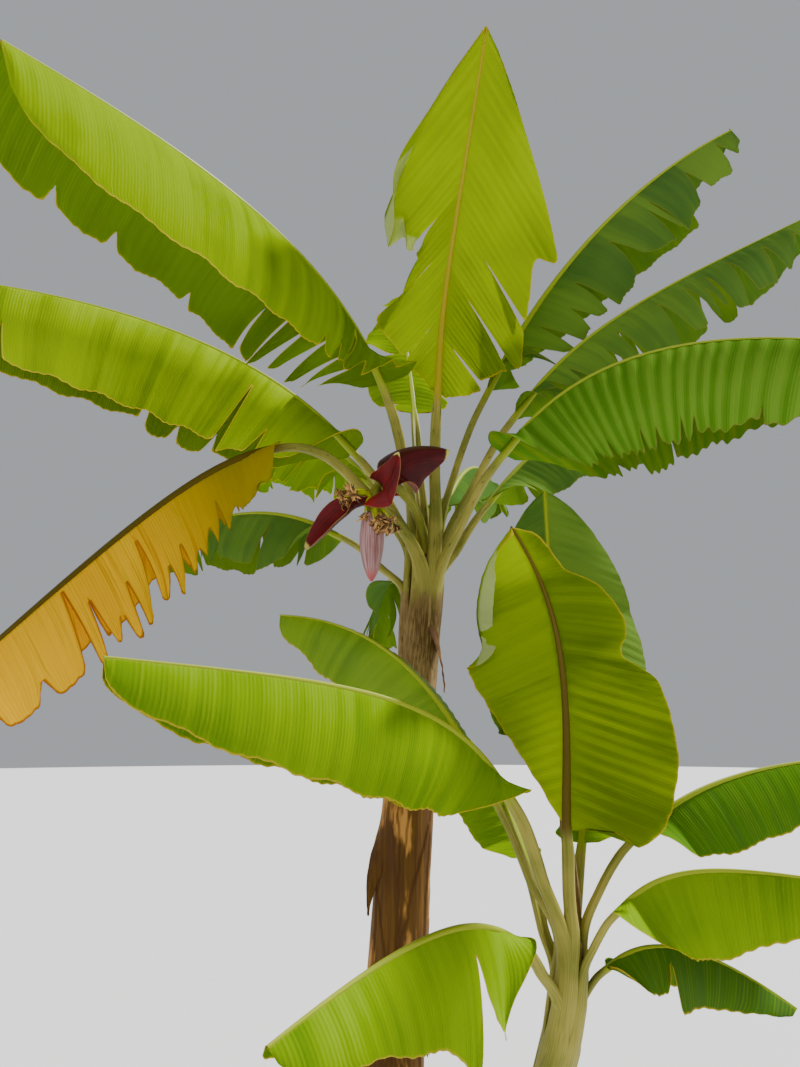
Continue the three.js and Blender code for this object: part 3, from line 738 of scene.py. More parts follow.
def plain_finish(name, face, shade, scale, gloss):
    """A small mottled part."""
    finish = Finish(name)
    patch = finish.noise(finish.place((scale, scale, scale)), detail=3)
    base = finish.mix(finish.ramp(patch * 0.6 + finish.attribute("tint") * 0.5, 0.3, 0.8), shade, face)
    return finish.close(Base_Color=base, Roughness=gloss, Normal=finish.bump(patch, 0.0012))


def stalk_finishes(colours):
    """The finishes of leaf stalks by name. Only those of the main stem are papery at their feet."""
    flesh = (colours.stalk_pale, colours.stalk_green)
    grown = (*flesh, colours.stain, colours.stem_tan)
    fresh = (*flesh, colours.stalk_green, colours.stalk_pale)
    return {
        "plain": stalk_finish("stalk", *grown, colours.leaf_rib, PAPER_HEIGHT),
        "gold": stalk_finish("gold_stalk", *grown, colours.gold_rib, PAPER_HEIGHT),
        "old": stalk_finish("old_stalk", *grown, colours.brown_rib, PAPER_HEIGHT),
        "brown": stalk_finish("brown_stalk", *fresh, colours.brown_rib, 0),
        "young": stalk_finish("young_stalk", *fresh, colours.leaf_rib, 0),
    }


def leaf_finishes(colours, stalks):
    """The finishes of the leaves by name: the blade's upper side, its lower side and the stalk."""
    usual = {"glow_colour": colours.leaf_glow, "rib": colours.leaf_rib, "vein": colours.leaf_vein,
             "margin": colours.leaf_margin, "brown": colours.old_brown}
    # Painted shade for leaves that face away from the light
    painted_shade = {"vein": colours.painted_shade_vein, "margin": colours.painted_shade_margin}
    # Translucent glow, and a painted highlight on the folded margins
    glow_and_highlight = {"glow_colour": colours.warm_glow, "lip": colours.lip_highlight}
    aged = {"glow_colour": colours.old_face, "wither": 0.65, "rib": colours.brown_rib,
            "margin": colours.old_brown}
    green = (colours.leaf_face, colours.leaf_shade)
    young = (colours.young_face, colours.young_shade)
    old = (colours.old_face, colours.old_shade)
    under = colours.leaf_under
    # sunlit, shaded and pleated are lit and shaded copies of one grown leaf, and deep is a shaded copy of a
    # young one; the shaded, pleated and deep colours are painted shade
    rows = {
        "sunlit": (*green, under, 0.35, "plain", {}),
        "curled": (*green, under, 0.12, "plain", {}),
        "backlit": (*green, colours.leaf_face, 0.5, "gold", glow_and_highlight | {"rib": colours.gold_rib}),
        "broad": (*green, colours.leaf_face, 0.5, "brown", glow_and_highlight | {"rib": colours.brown_rib}),
        # Painted light and shade: the tone follows the pleats
        "pleated": (colours.pleat_face, colours.deep_face, under, 0.12, "plain", painted_shade | {"mottle": 0.28}),
        # Painted shade: darker, cooler copy of the grown leaf
        "shaded": (colours.cool_face, colours.painted_shade_dark, under, 0.25, "plain", painted_shade),
        "young": (*young, under, 0.3, "young", {}),
        # Painted shade on the sucker's leaves that stand in shade
        "deep": (colours.deep_face, colours.painted_shade_dark, under, 0.2, "young", {}),
        "glossy": (*young, under, 0.3, "young", {"gloss": 0.32, "shine": 0.35}),
        "old": (*old, colours.old_face, 0.35, "old", aged),
    }
    made = {}
    for name, (face, shade, low, glow, stalk, changes) in rows.items():
        look = Look(glow, **(usual | changes))
        dull = replace(look, gloss=look.gloss + 0.1, shine=0.0)
        made[name] = [blade_finish(name + "_face", face, shade, look),
                      blade_finish(name + "_under", low, shade, dull), stalks[stalk]]
    return made


def bract_finishes(colours, name, gloss, tipped=0.97):
    """The inner and the outer side of a bract."""
    ends = (colours.bract_tip, colours.bract_rim)
    return [bract_finish(name + "_inside", colours.bract_base, colours.bract_inner, *ends, 0.38, tipped),
            bract_finish(name + "_outside", colours.bract_outer, colours.bract_outer, *ends, gloss, tipped)]


def make_finishes(colours):
    """Every finish by name, as lists in the order of a piece's slots."""
    stalks = stalk_finishes(colours)

    def skin(name, alive, fresh):
        return stem_finish(name, alive, colours.stem_dry, fresh, colours.stain)

    return leaf_finishes(colours, stalks) | {
        "stem": [skin("sheath_skin", colours.stem_olive, colours.stem_peach)],
        "young_stem": [skin("young_skin", colours.stalk_green, colours.stalk_pale)],
        "dry": [skin("dry_outside", colours.stem_dry, colours.stem_peach),
                skin("dry_inside", colours.stem_peach, colours.stem_peach)],
        "bract": bract_finishes(colours, "bract", 0.4),
        "low_bract": bract_finishes(colours, "low", 0.4, 0.95),
        "hood": bract_finishes(colours, "hood", 0.34)[::-1],
        "bud": [bud_finish("bud_skin", colours.bud_pink, colours.bud_grey, colours.bud_stripe,
                           colours.bud_tip)],
        "flower_stalk": [stalks["plain"]],
        "hand": [plain_finish("finger", colours.finger, scaled(colours.finger, 0.5), 30, 0.4),
                 plain_finish("floret", scaled(colours.floret, 1.7), colours.stain, 60, 0.7)],
    }


# Shapes


class Sculpt:
    """A bmesh that carries the attributes which the finishes read."""

    def __init__(self):
        self.bm = bmesh.new()
        self.flow = self.bm.verts.layers.float_vector.new("flow")
        self.tint = self.bm.verts.layers.float.new("tint")

    def grid(self, rows, columns):
        """A flat grid: x runs from 0 to 1 over the rows, and y over the columns."""
        made = bmesh.ops.create_grid(self.bm, x_segments=rows, y_segments=columns, size=0.5)
        bmesh.ops.translate(self.bm, vec=(0.5, 0.5, 0), verts=made["verts"])
        return made["verts"]

    def set(self, vert, spot):
        vert.co, vert[self.flow], vert[self.tint] = spot

    def sheet(self, rows, columns, place, thickness, cuts=()):
        """A thin closed blade. place(x, y, middle) gives each point, and cuts tear it along its rows."""
        verts = self.grid(rows, columns)
        faces = list({face for vert in verts for face in vert.link_faces})
        lines = {(row, column) for row, low, high in cuts for column in range(low, high)}
        if lines:
            edges = {edge for vert in verts for edge in vert.link_edges}
            torn = [edge for edge in edges if self.line(edge, rows, columns) in lines]
            bmesh.ops.split_edges(self.bm, edges=torn)
            verts = list({vert for face in faces for vert in face.verts})
        centres = {face: face.calc_center_median().x for face in faces}
        middles = {}
        for vert in verts:
            middles[vert] = sum(centres[face] for face in vert.link_faces) / len(vert.link_faces)
        for vert in verts:
            self.set(vert, place(vert.co.x, vert.co.y, middles[vert]))
        self.thicken(verts, faces, thickness)

    def line(self, edge, rows, columns):
        """The row and column of an edge that runs across the grid, or None."""
        a, b = (vert.co for vert in edge.verts)
        if abs(a.x - b.x) > 1e-5:
            return None
        return round(a.x * rows), round(min(a.y, b.y) * columns)

    def thicken(self, verts, faces, thickness):
        """Gives a sheet its second side, a little below the first, and closes the rim."""
        self.bm.normal_update()
        normals = {vert: vert.normal.copy() for vert in verts}
        made = bmesh.ops.extrude_face_region(self.bm, geom=faces, use_keep_orig=True)
        top = [item for item in made["geom"] if isinstance(item, bmesh.types.BMFace)]
        for vert, normal in normals.items():
            vert.co -= normal * thickness
        bmesh.ops.reverse_faces(self.bm, faces=faces)
        under = set(faces)
        shell = {face for vert in normals for face in vert.link_faces} | set(top)
        self.turn_outward(shell, top[len(top) // 2])
        for face in shell:
            face.smooth = True
            face.material_index = 1 if face in under else 0
        self.sharpen(shell - under - set(top))

    def turn_outward(self, shell, first):
        """Makes the faces of a shell agree with one of them."""
        self.bm.normal_update()
        before = first.normal.copy()
        bmesh.ops.recalc_face_normals(self.bm, faces=list(shell))
        if first.normal.dot(before) < 0:
            bmesh.ops.reverse_faces(self.bm, faces=list(shell))

    def sharpen(self, faces):
        for face in faces:
            for edge in face.edges:
                edge.smooth = False

    def tube(self, rows, sides, place, slot=0):
        """A closed tube. place(x, y) gives each point, with x along it and y round it."""
        verts = self.grid(rows, sides)
        for vert in verts:
            self.set(vert, place(vert.co.x, vert.co.y))
        edges = {edge for vert in verts for edge in vert.link_edges}
        bmesh.ops.remove_doubles(self.bm, verts=verts, dist=1e-6)
        edges = [edge for edge in edges if edge.is_valid and edge.is_boundary]
        ends = bmesh.ops.holes_fill(self.bm, edges=edges, sides=0)["faces"]
        faces = {face for vert in verts if vert.is_valid for face in vert.link_faces}
        bmesh.ops.recalc_face_normals(self.bm, faces=list(faces))
        for face in faces:
            face.smooth = True
            face.material_index = slot
        self.sharpen(ends)

    def piece(self, name, finishes, slot, nodes):
        """Makes the object, which rides on the plant and stands for the CAD nodes."""
        mesh = bpy.data.meshes.new(name)
        self.bm.to_mesh(mesh)
        self.bm.free()
        for finish in finishes:
            mesh.materials.append(finish)
        piece = bpy.data.objects.new(name, mesh)
        bpy.context.scene.collection.objects.link(piece)
        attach(piece, "root")
        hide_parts(*nodes)


# Stems


class Stem:
    """A stem's curve, the radius at each height, and points on its skin."""

    def __init__(self, points, radius):
        self.points = [Vector(point) for point in points]
        self.radius = radius

    def middle(self, t):
        return bezier(self.points, t)

    def directions(self, t, turn):
        """The way that the curve runs, and the way out from it at a bearing in radians."""
        travel = bezier_travel(self.points, t)
        across = Vector((0, 1, 0)).cross(travel).normalized()
        return travel, across * math.cos(turn) + travel.cross(across) * math.sin(turn)

    def at_height(self, height):
        """The part of the curve at a height."""
        low, high = 0.0, 1.0
        for _ in range(24):
            mid = (low + high) / 2
            if self.middle(mid).z < height:
                low = mid
            else:
                high = mid
        return low

    def skin(self, height, angle, lift):
        """A point above the skin at a height and a bearing in degrees, and the ways along and out."""
        t = self.at_height(height)
        travel, outward = self.directions(t, math.radians(angle))
        return self.middle(t) + outward * (self.radius(height) + lift), travel, outward


def mother_radius(height):
    flare = STEM_FLARE * math.exp(-max(0.0, height) / STEM_FLARE_HEIGHT)
    radius = STEM_RADIUS + STEM_TAPER * (1 - height / STEM_HEIGHT) + flare
    radius *= lerp(1, STEM_WAIST, smooth(height, *STEM_WAIST_HEIGHTS))
    return lerp(radius, STEM_CROWN_RADIUS, smooth(height, STEM_CROWN_START, STEM_HEIGHT))


def sucker_radius(height):
    flare = SUCKER_FLARE * math.exp(-max(0.0, height) / SUCKER_FLARE_HEIGHT)
    crown = smooth(height, SUCKER_CROWN_START, SUCKER_TOP[2])
    return lerp(SUCKER_RADIUS + flare, SUCKER_CROWN_RADIUS, crown)


MOTHER = Stem([(STEM_FOOT_SHIFT, 0, -BURIED), (STEM_MID_SHIFT, 0, STEM_HEIGHT / 2),
               (STEM_LEAN, 0, STEM_HEIGHT)], mother_radius)
SUCKER = Stem([(*SUCKER_FOOT, -BURIED), SUCKER_LOW_HANDLE, SUCKER_HIGH_HANDLE, SUCKER_TOP], sucker_radius)


@dataclass
class Sheath:
    """One leaf sheath round a stem: its bearing, the height of its top and how dry it is."""

    angle: float
    top: float
    dry: float

    def inside(self, angle, height):
        """Distance in degrees from the sheath's edge, positive inside it."""
        away = abs((angle - self.angle + 180) % 360 - 180)
        if height >= self.top:
            return -away
        half = min(SHEATH_REACH, SHEATH_REACH * math.sqrt((self.top - height) / SHEATH_TAPER))
        ragged = sum(size * rough(height * waves, self.angle) for size, waves in SHEATH_RAGGED)
        return half + ragged - away


def stem_piece(name, stem, sheaths, step, grid, top, rim, finishes):
    """A stem with the relief of its sheaths, from a flat foot at ground level to its rounded top."""
    sculpt = Sculpt()
    most = step * len(sheaths)

    def place(x, y):
        height = lerp(0, top, x)
        angle = 360 * (1 - y)
        turn = math.radians(angle)
        lobe = 1 + LOBE_DEPTH * math.cos(3 * turn + height / LOBE_PITCH)
        radius = stem.radius(height) * lobe - SHEATH_SUNK * most
        dry = 0.25 + 0.5 * smooth(rough(3 * math.cos(turn), 3 * math.sin(turn) + height * 1.3), -0.5, 0.6)
        nearest = 1.0
        for sheath in sheaths:
            inside = sheath.inside(angle, height)
            radius += step * smooth(inside, *SHEATH_SOFT)
            dry = lerp(dry, sheath.dry, smooth(inside, 0, SHEATH_FADE))
            nearest = min(nearest, abs(math.radians(inside)) * radius)
        radius += SKIN_GRAIN * rough(14 * math.cos(turn), 14 * math.sin(turn) + height * 2.4)
        closing = smooth(height, top - rim, top)
        radius *= math.sqrt(max(0.0, 1 - closing * closing)) * 0.75 + 0.25
        t = stem.at_height(height)
        co = stem.middle(t) + stem.directions(t, turn)[1] * radius
        co.z = max(co.z, 0)
        return co, (angle, nearest, height), dry

    sculpt.tube(*grid, place)
    sculpt.piece(name, finishes, "stem", [name.replace("_skin", "")])


# Leaves


class Rib:
    """The curve of one leaf, from its foot in the stem to its tip."""

    def __init__(self, leaf, middle):
        out = bearing(leaf.heading)
        foot = middle + bearing(leaf.seat) * leaf.inset
        tip = middle + out * leaf.reach + UP * leaf.climb
        handle = leaf.bow * (tip - foot).length
        rise, dip = math.radians(leaf.rise), math.radians(leaf.dip)
        near = foot + handle * (out * math.cos(rise) + UP * math.sin(rise))
        far = tip - handle * (out * math.cos(dip) + UP * math.sin(dip))
        self.points = [foot, near, far, tip]
        self.side = UP.cross(out)
        self.leaf = leaf
        steps = [bezier(self.points, i / 40) for i in range(41)]
        self.length = sum((b - a).length for a, b in zip(steps, steps[1:]))

    def frame(self, s):
        """Middle, travel, across and upper side at the part s of the curve."""
        travel = bezier_travel(self.points, s)
        across = (self.side - travel * self.side.dot(travel)).normalized()
        place = (s - self.leaf.start) / (1 - self.leaf.start)
        across.rotate(Quaternion(travel, math.radians(self.leaf.roll) * smooth(place, 0, 0.3)))
        return bezier(self.points, s), travel, across, travel.cross(across)


def arc(width, start, bend, v):
    """How far out and down an arc has come at the part v of its length."""
    out = width * (math.sin(start + bend * v) - math.sin(start)) / bend
    down = width * (math.cos(start) - math.cos(start + bend * v)) / bend
    return out, down


def swing(point, pivot, turn):
    """Turns a point (out, down) about a pivot."""
    out, down = point[0] - pivot[0], point[1] - pivot[1]
    return (pivot[0] + out * math.cos(turn) - down * math.sin(turn),
            pivot[1] + out * math.sin(turn) + down * math.cos(turn))


@dataclass
class Tear:
    """A tear in one half: its row, its place along the blade, and how far out from the rib it starts."""

    row: int
    place: float
    root: float


class Half:
    """One half of a blade: its outline, its tears, and how each strip between them hangs."""

    def __init__(self, leaf, side, rows, luck):
        self.leaf = leaf
        self.side = side
        self.sign = -1 if side else 1
        places = {round(place * rows): leaf.cut for place in leaf.tears[side]}
        places.update({round(place * rows): start for place, start in leaf.slits[side]})
        for _ in range(leaf.shreds[side]):
            row = round(luck.uniform(*SHRED_PLACES) * rows)
            if all(abs(row - other) > SHRED_SPACING * rows for other in places):
                places[row] = luck.uniform(*leaf.depth)
        self.tears = [Tear(row, row / rows, places[row]) for row in sorted(places)]
        bounds = [Tear(0, 0, 1)] + self.tears + [Tear(rows, 1, 1)]
        self.bounds = list(zip(bounds, bounds[1:]))
        self.sways = [self.sway(strip, luck) for strip in range(len(self.bounds))]
        self.twists = [luck.uniform(-OWN_TWIST, OWN_TWIST) for _ in self.bounds]
        self.tints = [luck.uniform(0, 1) for _ in self.bounds]
        self.trims = [luck.uniform(*OWN_TRIM) if self.tears else 0 for _ in self.bounds]
        self.phase = luck.uniform(0, 2 * math.pi)

    def sway(self, strip, luck):
        """The further angle that a strip hangs by, as the solids have it, with a little of its own."""
        low = self.bounds[strip][0].place
        passed = sum(1 for place in self.leaf.tears[self.side] if place < low + 0.01)
        turns = self.leaf.turns[self.side]
        if passed < len(turns):
            turn = turns[passed]
        elif passed > 0:
            turn = TEAR_SWAY * math.sin(STRIP_TURN * passed + self.leaf.heading)
        else:
            turn = 0
        own = luck.uniform(*OWN_SWAY) if len(self.tears) > 1 else 0
        return turn + own

    def outline(self, place):
        """Half the blade's width, in metres."""
        belly = self.leaf.belly[self.side]
        share = math.sin(math.pi * place ** belly)
        power = OUTLINE_POWER if place ** belly < 0.5 else self.leaf.taper[self.side]
        whole = self.leaf.width / 2 * max(0.0, share) ** power
        for middle, reach, bite in self.leaf.bites[self.side]:
            reach *= 1 if place > middle else BITE_STEEP
            whole *= 1 - bite * math.exp(-(((place - middle) / reach) ** 2))
        return max(LEAST_WIDTH, whole)

    def strip(self, place):
        return sum(1 for tear in self.tears if tear.place < place)

    def tear_distance(self, place, v):
        """How far the nearest tear that reaches in to v is, as a share of the blade's length, or 1."""
        return min((abs(place - tear.place) for tear in self.tears if v > tear.root), default=1)

    def free(self, strip, place, v):
        """How far a point can swing from the rib and how far its tears gape, both from 0 to 1."""
        low, high = self.bounds[strip]
        share = (place - low.place) / max(1e-6, high.place - low.place)
        root = lerp(low.root, high.root, min(1, max(0, share)))
        return smooth(v, root, root + SWING_REACH), max(0.0, v - root) / (1.001 - root)

    def section(self, place, v, width):
        """The blade's sag below the rib at v of the width: (out, down), before waves."""
        opened = smooth(place, 0, 0.15)
        grown = smooth(place, 0, 0.1)
        fold = (self.leaf.fold[self.side] + self.leaf.sag[self.side] * place) * opened
        start = math.radians(fold - SOFT_FOLD * grown)
        bend = math.radians(self.leaf.curl[self.side] * grown + 2 * SOFT_FOLD * grown)
        if abs(bend) < 1e-4:
            return v * width * math.cos(start), v * width * math.sin(start)
        return arc(width, start, bend, v)

    def folded(self, place, v, width):
        """The same with the margin folded back under the blade where the leaf has a lip, and its fold."""
        point = self.section(place, v, width)
        lip = self.leaf.lips[self.side]
        if not lip or v <= LIP_START:
            return point, 0.0
        low, high, angle = lip
        window = smooth(place, low - 0.02, low + 0.06) * (1 - smooth(place, high - 0.06, high + 0.05))
        pivot = self.section(place, LIP_START, width)
        out, down = swing(point, pivot, math.radians(angle * window))
        return (out, down + LIP_LIFT * window), angle * window

    def hang(self, strip, place, v, width, free):
        """Out and down from the rib as each strip hangs, and how far the margin is folded, in degrees."""
        low, high = self.bounds[strip]
        point, folded = self.folded(place, v, width)
        pivot = self.section(place, min(v, lerp(low.root, high.root, 0.5)), width)
        return *swing(point, pivot, math.radians(self.sways[strip]) * free), folded


class Blade:
    """The blade of a leaf: two halves that hang from the rib, pleated along the side veins and torn."""

    def __init__(self, leaf, rib, sizes):
        self.leaf = leaf
        self.sizes = sizes
        self.long = rib.length * (1 - leaf.start)
        self.scale = min(1.0, leaf.width / WIDE_BLADE)
        self.rows = round(sizes.leaf_rows * min(1.0, max(0.45, self.long / LONG_BLADE)))
        self.columns = 2 * round(sizes.leaf_columns * max(0.6, self.scale) / 2)
        luck = random.Random(leaf.name)
        self.halves = [Half(leaf, side, self.rows, luck) for side in (0, 1)]
        self.seed = luck.uniform(0, 50)
        parts = [leaf.start + (1 - leaf.start) * row / self.rows for row in range(self.rows + 1)]
        self.frames = [rib.frame(part) for part in parts]

    def cuts(self):
        """The tears as rows of the grid, with the columns that each one opens."""
        middle = self.columns // 2
        made = []
        for half in self.halves:
            for tear in half.tears:
                root = round(tear.root * middle)
                ends = (0, middle - root) if half.side else (middle + root, self.columns)
                made.append((tear.row, *ends))
        return made

    def width(self, half, strip, x, v, tear):
        """The half's width, rounded off beside a tear, trimmed and ragged at the margin."""
        margin = smooth(v, 0.6, 1)
        width = half.outline(x)
        width -= TEAR_ROUND * max(0.0, 1 - tear / TEAR_ROUND_REACH) ** 2 * smooth(v, 0.7, 1)
        width *= 1 + half.trims[strip] * margin
        ragged = MARGIN_RAGGED * rough(x * self.long * 30, self.seed + half.sign)
        return width + ragged * margin * smooth(x, 0, 0.06)

    def waves(self, half, x, v):
        """The lift of the large waves and of those in the margin."""
        along = x * self.long
        big = self.leaf.ripple * math.sin(2 * math.pi * RIPPLE_WAVES * x + 2 * half.side) * v * v
        own = 2 * rough(along * 2, self.seed)
        wave = math.sin(2 * math.pi * along / self.sizes.wave_pitch + half.phase + own)
        depth = self.sizes.wave_depth * self.scale * v ** 1.6 * (0.6 + 0.4 * rough(along * 3, self.seed + 9))
        return big + wave * depth

    def pleat(self, x):
        """Where a point is between the top of a pleat, 1, and its foot, -1."""
        along = x * self.long
        pitch = self.sizes.pleat_pitch * (1 + 0.18 * (self.leaf.pleats - 1))
        own = (0.5 + self.leaf.pleats) * rough(along * 5, self.seed + 3)
        return math.sin(2 * math.pi * along / pitch + own)

    def gape(self, strip_long, off, gaping):
        """How far a point moves along the blade so that the tears beside its strip stand open."""
        gap = min(self.leaf.gape * self.sizes.tear_gap, MOST_GAPE * strip_long)
        shift = -off * gaping * 2 * gap / max(0.05, strip_long)
        return max(-MOST_SHIFT, min(MOST_SHIFT, shift))

    def place(self, x, y, middle_x):
        """The point x along the blade and y across it. middle_x says which strip it belongs to."""
        half = self.halves[0 if y >= 0.5 else 1]
        v = abs(2 * y - 1)
        strip = half.strip(middle_x)
        low, high = half.bounds[strip]
        along = x * self.long
        off = along - (low.place + high.place) / 2 * self.long
        tear = half.tear_distance(x, v) * self.long
        width = self.width(half, strip, x, v, tear)
        free, gaping = half.free(strip, x, v)
        out, down, folded = half.hang(strip, x, v, width, free)
        pleat = self.pleat(x)
        depth = self.leaf.pleats * self.sizes.pleat_depth * smooth(v, 0.02, 0.2)
        lift = (self.waves(half, x, v) + pleat * depth) * smooth(x, 0, 0.1) + half.twists[strip] * off * free
        ahead = self.leaf.lean * width * v * smooth(x, 0, 0.03)
        ahead += self.gape((high.place - low.place) * self.long, off, gaping)
        middle, travel, across, normal = self.frames[round(x * self.rows)]
        co = middle + across * (half.sign * out) + normal * (lift - down) + travel * ahead
        co.z = max(co.z, GROUND_GAP)
        edge = min((1 - v) * width, tear, along + 0.01, (1 - x) * self.long + 0.002)
        # On a pleated leaf the tint follows the pleats: painted light on their tops and painted shade at
        # their feet
        tint = 0.5 + 0.5 * pleat if self.leaf.pleats > 1 else half.tints[strip]
        # A folded margin gets the tint of its painted highlight
        return co, (half.sign * v * width, edge, along), LIP_HIGHLIGHT_TINT if folded > LIP_FOLD else tint


@dataclass
class Station:
    """A cross-section of a leaf's stalk. Its wrap is the curve that it follows round the stem, per metre."""

    middle: Vector
    across: Vector
    normal: Vector
    wide: float
    deep: float
    groove: float
    wrap: float
    along: float
    under: float

    def place(self, y):
        """The point at the part y of the way round."""
        turn = 2 * math.pi * y
        side = math.cos(turn)
        top = math.sin(turn)
        out = self.wide * (abs(side) ** 0.85) * (1 if side > 0 else -1)
        high = self.deep * top
        if top > 0:
            high *= 1 - self.groove * 1.25 * math.exp(-(side / 0.5) ** 2)
        if self.wrap:
            bend = out * self.wrap
            radius = 1 / self.wrap - high
            out = radius * math.sin(bend)
            high = 1 / self.wrap - radius * math.cos(bend)
        co = self.middle + self.across * out + self.normal * high
        return co, (self.wide * side, self.deep * top, self.along), self.under


def clasp(leaf, stem, foot, part):
    """A station of the sheath that clasps the stem below the leaf's foot, from part 0 at its lower end."""
    rise = -leaf.sheath * (1 - part)
    height = max(0.02, foot.z + rise)
    radius = stem.radius(height)
    middle, travel, outward = stem.skin(height, leaf.seat, SKIN_LIFT)
    across = travel.cross(outward).normalized()
    grown = smooth(part, 0.1, 1)
    wide = lerp(CLASP_WIDTH * radius, SEAT_WIDTH * leaf.petiole, grown)
    deep = lerp(CLASP_DEPTH, SEAT_DEPTH * leaf.petiole, grown)
    wrap = lerp(1 / radius, SEAT_WRAP / radius, grown)
    return Station(middle, across, travel.cross(across), wide, deep, 0.0, wrap, rise, 0.0)


def settled(leaf, rib, stem, s, settle):
    """Middle, across, normal and wrap of a stalk that leaves the stem's skin as settle goes from 0 to 1."""
    middle, travel, across, _ = rib.frame(s)
    height = min(middle.z, stem.points[-1].z - 0.002)
    skin, up_stem, outward = stem.skin(height, leaf.seat, SKIN_LIFT)
    skin = skin + up_stem * (middle.z - height)
    level = up_stem.cross(outward).normalized()
    across = level.lerp(across, settle).normalized()
    travel = up_stem.lerp(travel, settle).normalized()
    wrap = SEAT_WRAP / stem.radius(height) * (1 - settle)
    return skin.lerp(middle, settle), across, travel.cross(across).normalized(), wrap


def stalk_station(leaf, rib, stem, s):
    """A station of the grooved stalk and of the rib under the blade, at the part s of the curve."""
    place = max(0.0, (s - leaf.start) / (1 - leaf.start))
    under = smooth(s, leaf.start * 0.75, leaf.start * 1.1)
    settle = smooth(s, 0, 0.5 * leaf.start)
    middle, across, normal, wrap = settled(leaf, rib, stem, s, settle)
    thick = min(RIB_RADIUS, leaf.petiole)
    stalk = lerp(leaf.petiole, thick, min(1, s / leaf.start))
    size = lerp(stalk, lerp(thick, TIP_RADIUS, place), under)
    wide = lerp(SEAT_WIDTH * leaf.petiole, size * lerp(1.0, RIB_NARROW, under), smooth(settle, 0, 0.8))
    deep = size * lerp(0.78, 0.75, under)
    groove = lerp(0.75, 0.2, under) * settle
    spot = middle - normal * (size * (RIB_DROP * under))
    return Station(spot, across, normal, wide, deep, groove, wrap, s * rib.length, under)


def rib_tube(sculpt, leaf, rib, stem):
    """The leaf's stalk: a clasping sheath on the stem, a grooved stalk, and the rib under the blade."""
    parts = [leaf.start * row / STALK_ROWS for row in range(STALK_ROWS)]
    parts += [leaf.start + (1 - leaf.start) * row / RIB_ROWS for row in range(RIB_ROWS + 1)]
    stations = [clasp(leaf, stem, rib.points[0], row / SHEATH_ROWS) for row in range(SHEATH_ROWS)]
    stations += [stalk_station(leaf, rib, stem, part) for part in parts]
    rows = len(stations) - 1

    def place(x, y):
        return stations[round(x * rows)].place(y)

    sculpt.tube(rows, STALK_SIDES, place, STALK_MATERIAL)


def leaf_piece(leaf, stem, sizes, finishes, slot):
    """One leaf with its stalk, as one piece."""
    rib = Rib(leaf, stem.middle(leaf.base))
    blade = Blade(leaf, rib, sizes)
    sculpt = Sculpt()
    sculpt.sheet(blade.rows, blade.columns, blade.place, sizes.blade_thickness * blade.scale, blade.cuts())
    rib_tube(sculpt, leaf, rib, stem)
    sculpt.piece(leaf.name + "_blade", finishes, slot, leaf.nodes())


# Flower


def stalk_points():
    crown = MOTHER.points[-1]
    rise = UP * STALK_RISE
    return [crown, crown + rise, BUD_TOP + rise, BUD_TOP]


def limb(sculpt, points, size, grid, slot, tint, hint, flat=1.0):
    """A closed limb along a curve. size(x) is its half width, and flat is its depth over its width."""
    whole = sum((b - a).length for a, b in zip(points, points[1:]))

    def place(x, y):
        travel = bezier_travel(points, x)
        across = (hint - travel * hint.dot(travel)).normalized()
        deep = travel.cross(across)
        turn = 2 * math.pi * y
        radius = size(x)
        co = bezier(points, x) + across * (radius * math.cos(turn)) + deep * (radius * flat * math.sin(turn))
        return co, (radius * math.cos(turn), radius * math.sin(turn), x * whole), tint

    sculpt.tube(*grid, place, slot)


def bract_piece(leaf, finishes):
    """A cupped bract whose face shows its lengthwise stripes."""
    seed = random.Random(leaf.name).uniform(0, 50)
    rib = Rib(leaf, bezier(stalk_points(), leaf.base))
    sculpt = Sculpt()

    def place(x, y, middle_x):
        sign = 1 if y >= 0.5 else -1
        side = 0 if sign > 0 else 1
        v = abs(2 * y - 1)
        middle, travel, across, normal = rib.frame(x)
        share = math.sin(math.pi * min(1, max(0, 0.04 + 0.95 * x)) ** leaf.belly[side])
        width = leaf.width / 2 * max(0.02, share) ** 0.55
        width *= 1 + 0.05 * rough(x * 6, seed + side)
        out, down = arc(width, math.radians(leaf.fold[side]), math.radians(2 * leaf.curl[side]), v)
        wave = BRACT_WAVE * v * v * rough(x * 5, seed + 20 + side)
        ahead = leaf.lean * width * v
        co = middle + across * (sign * out) + normal * (wave - down) + travel * ahead
        return co, (sign * v * width, min((1 - v) * width, (1 - x) * rib.length), x * rib.length), x

    sculpt.sheet(*BRACT_GRID, place, BRACT_THICKNESS)
    sculpt.piece(leaf.name + "_petal", finishes, "bract", leaf.nodes())


def bud_piece(finishes):
    """The closed bud, with the edges of its wrapped bracts winding round it."""
    sculpt = Sculpt()

    def place(x, y):
        away = (x - BUD_BELLY) / (1 - BUD_BELLY) if x > BUD_BELLY else (BUD_BELLY - x) / BUD_BELLY
        share = max(0.0, 1 - away * away) ** (0.25 if x > BUD_BELLY else 0.68)
        turn = 2 * math.pi * y
        wrap = (3 * y + 0.7 * x) % 1
        lip = wrap if wrap < 0.93 else (1 - wrap) / 0.07
        grain = BUD_GRAIN * rough(6 * math.cos(turn), 6 * math.sin(turn))
        radius = share * (BUD_RADIUS + BUD_LIP * lip + grain)
        spot = Vector((radius * math.cos(turn), radius * math.sin(turn), (x - 1) * BUD_LENGTH))
        return BUD_TOP + spot, (math.cos(turn), math.sin(turn), x * BUD_LENGTH), x

    sculpt.tube(*BUD_GRID, place)
    sculpt.piece("flower_bud_skin", finishes, "bud", ["flower_bud"])


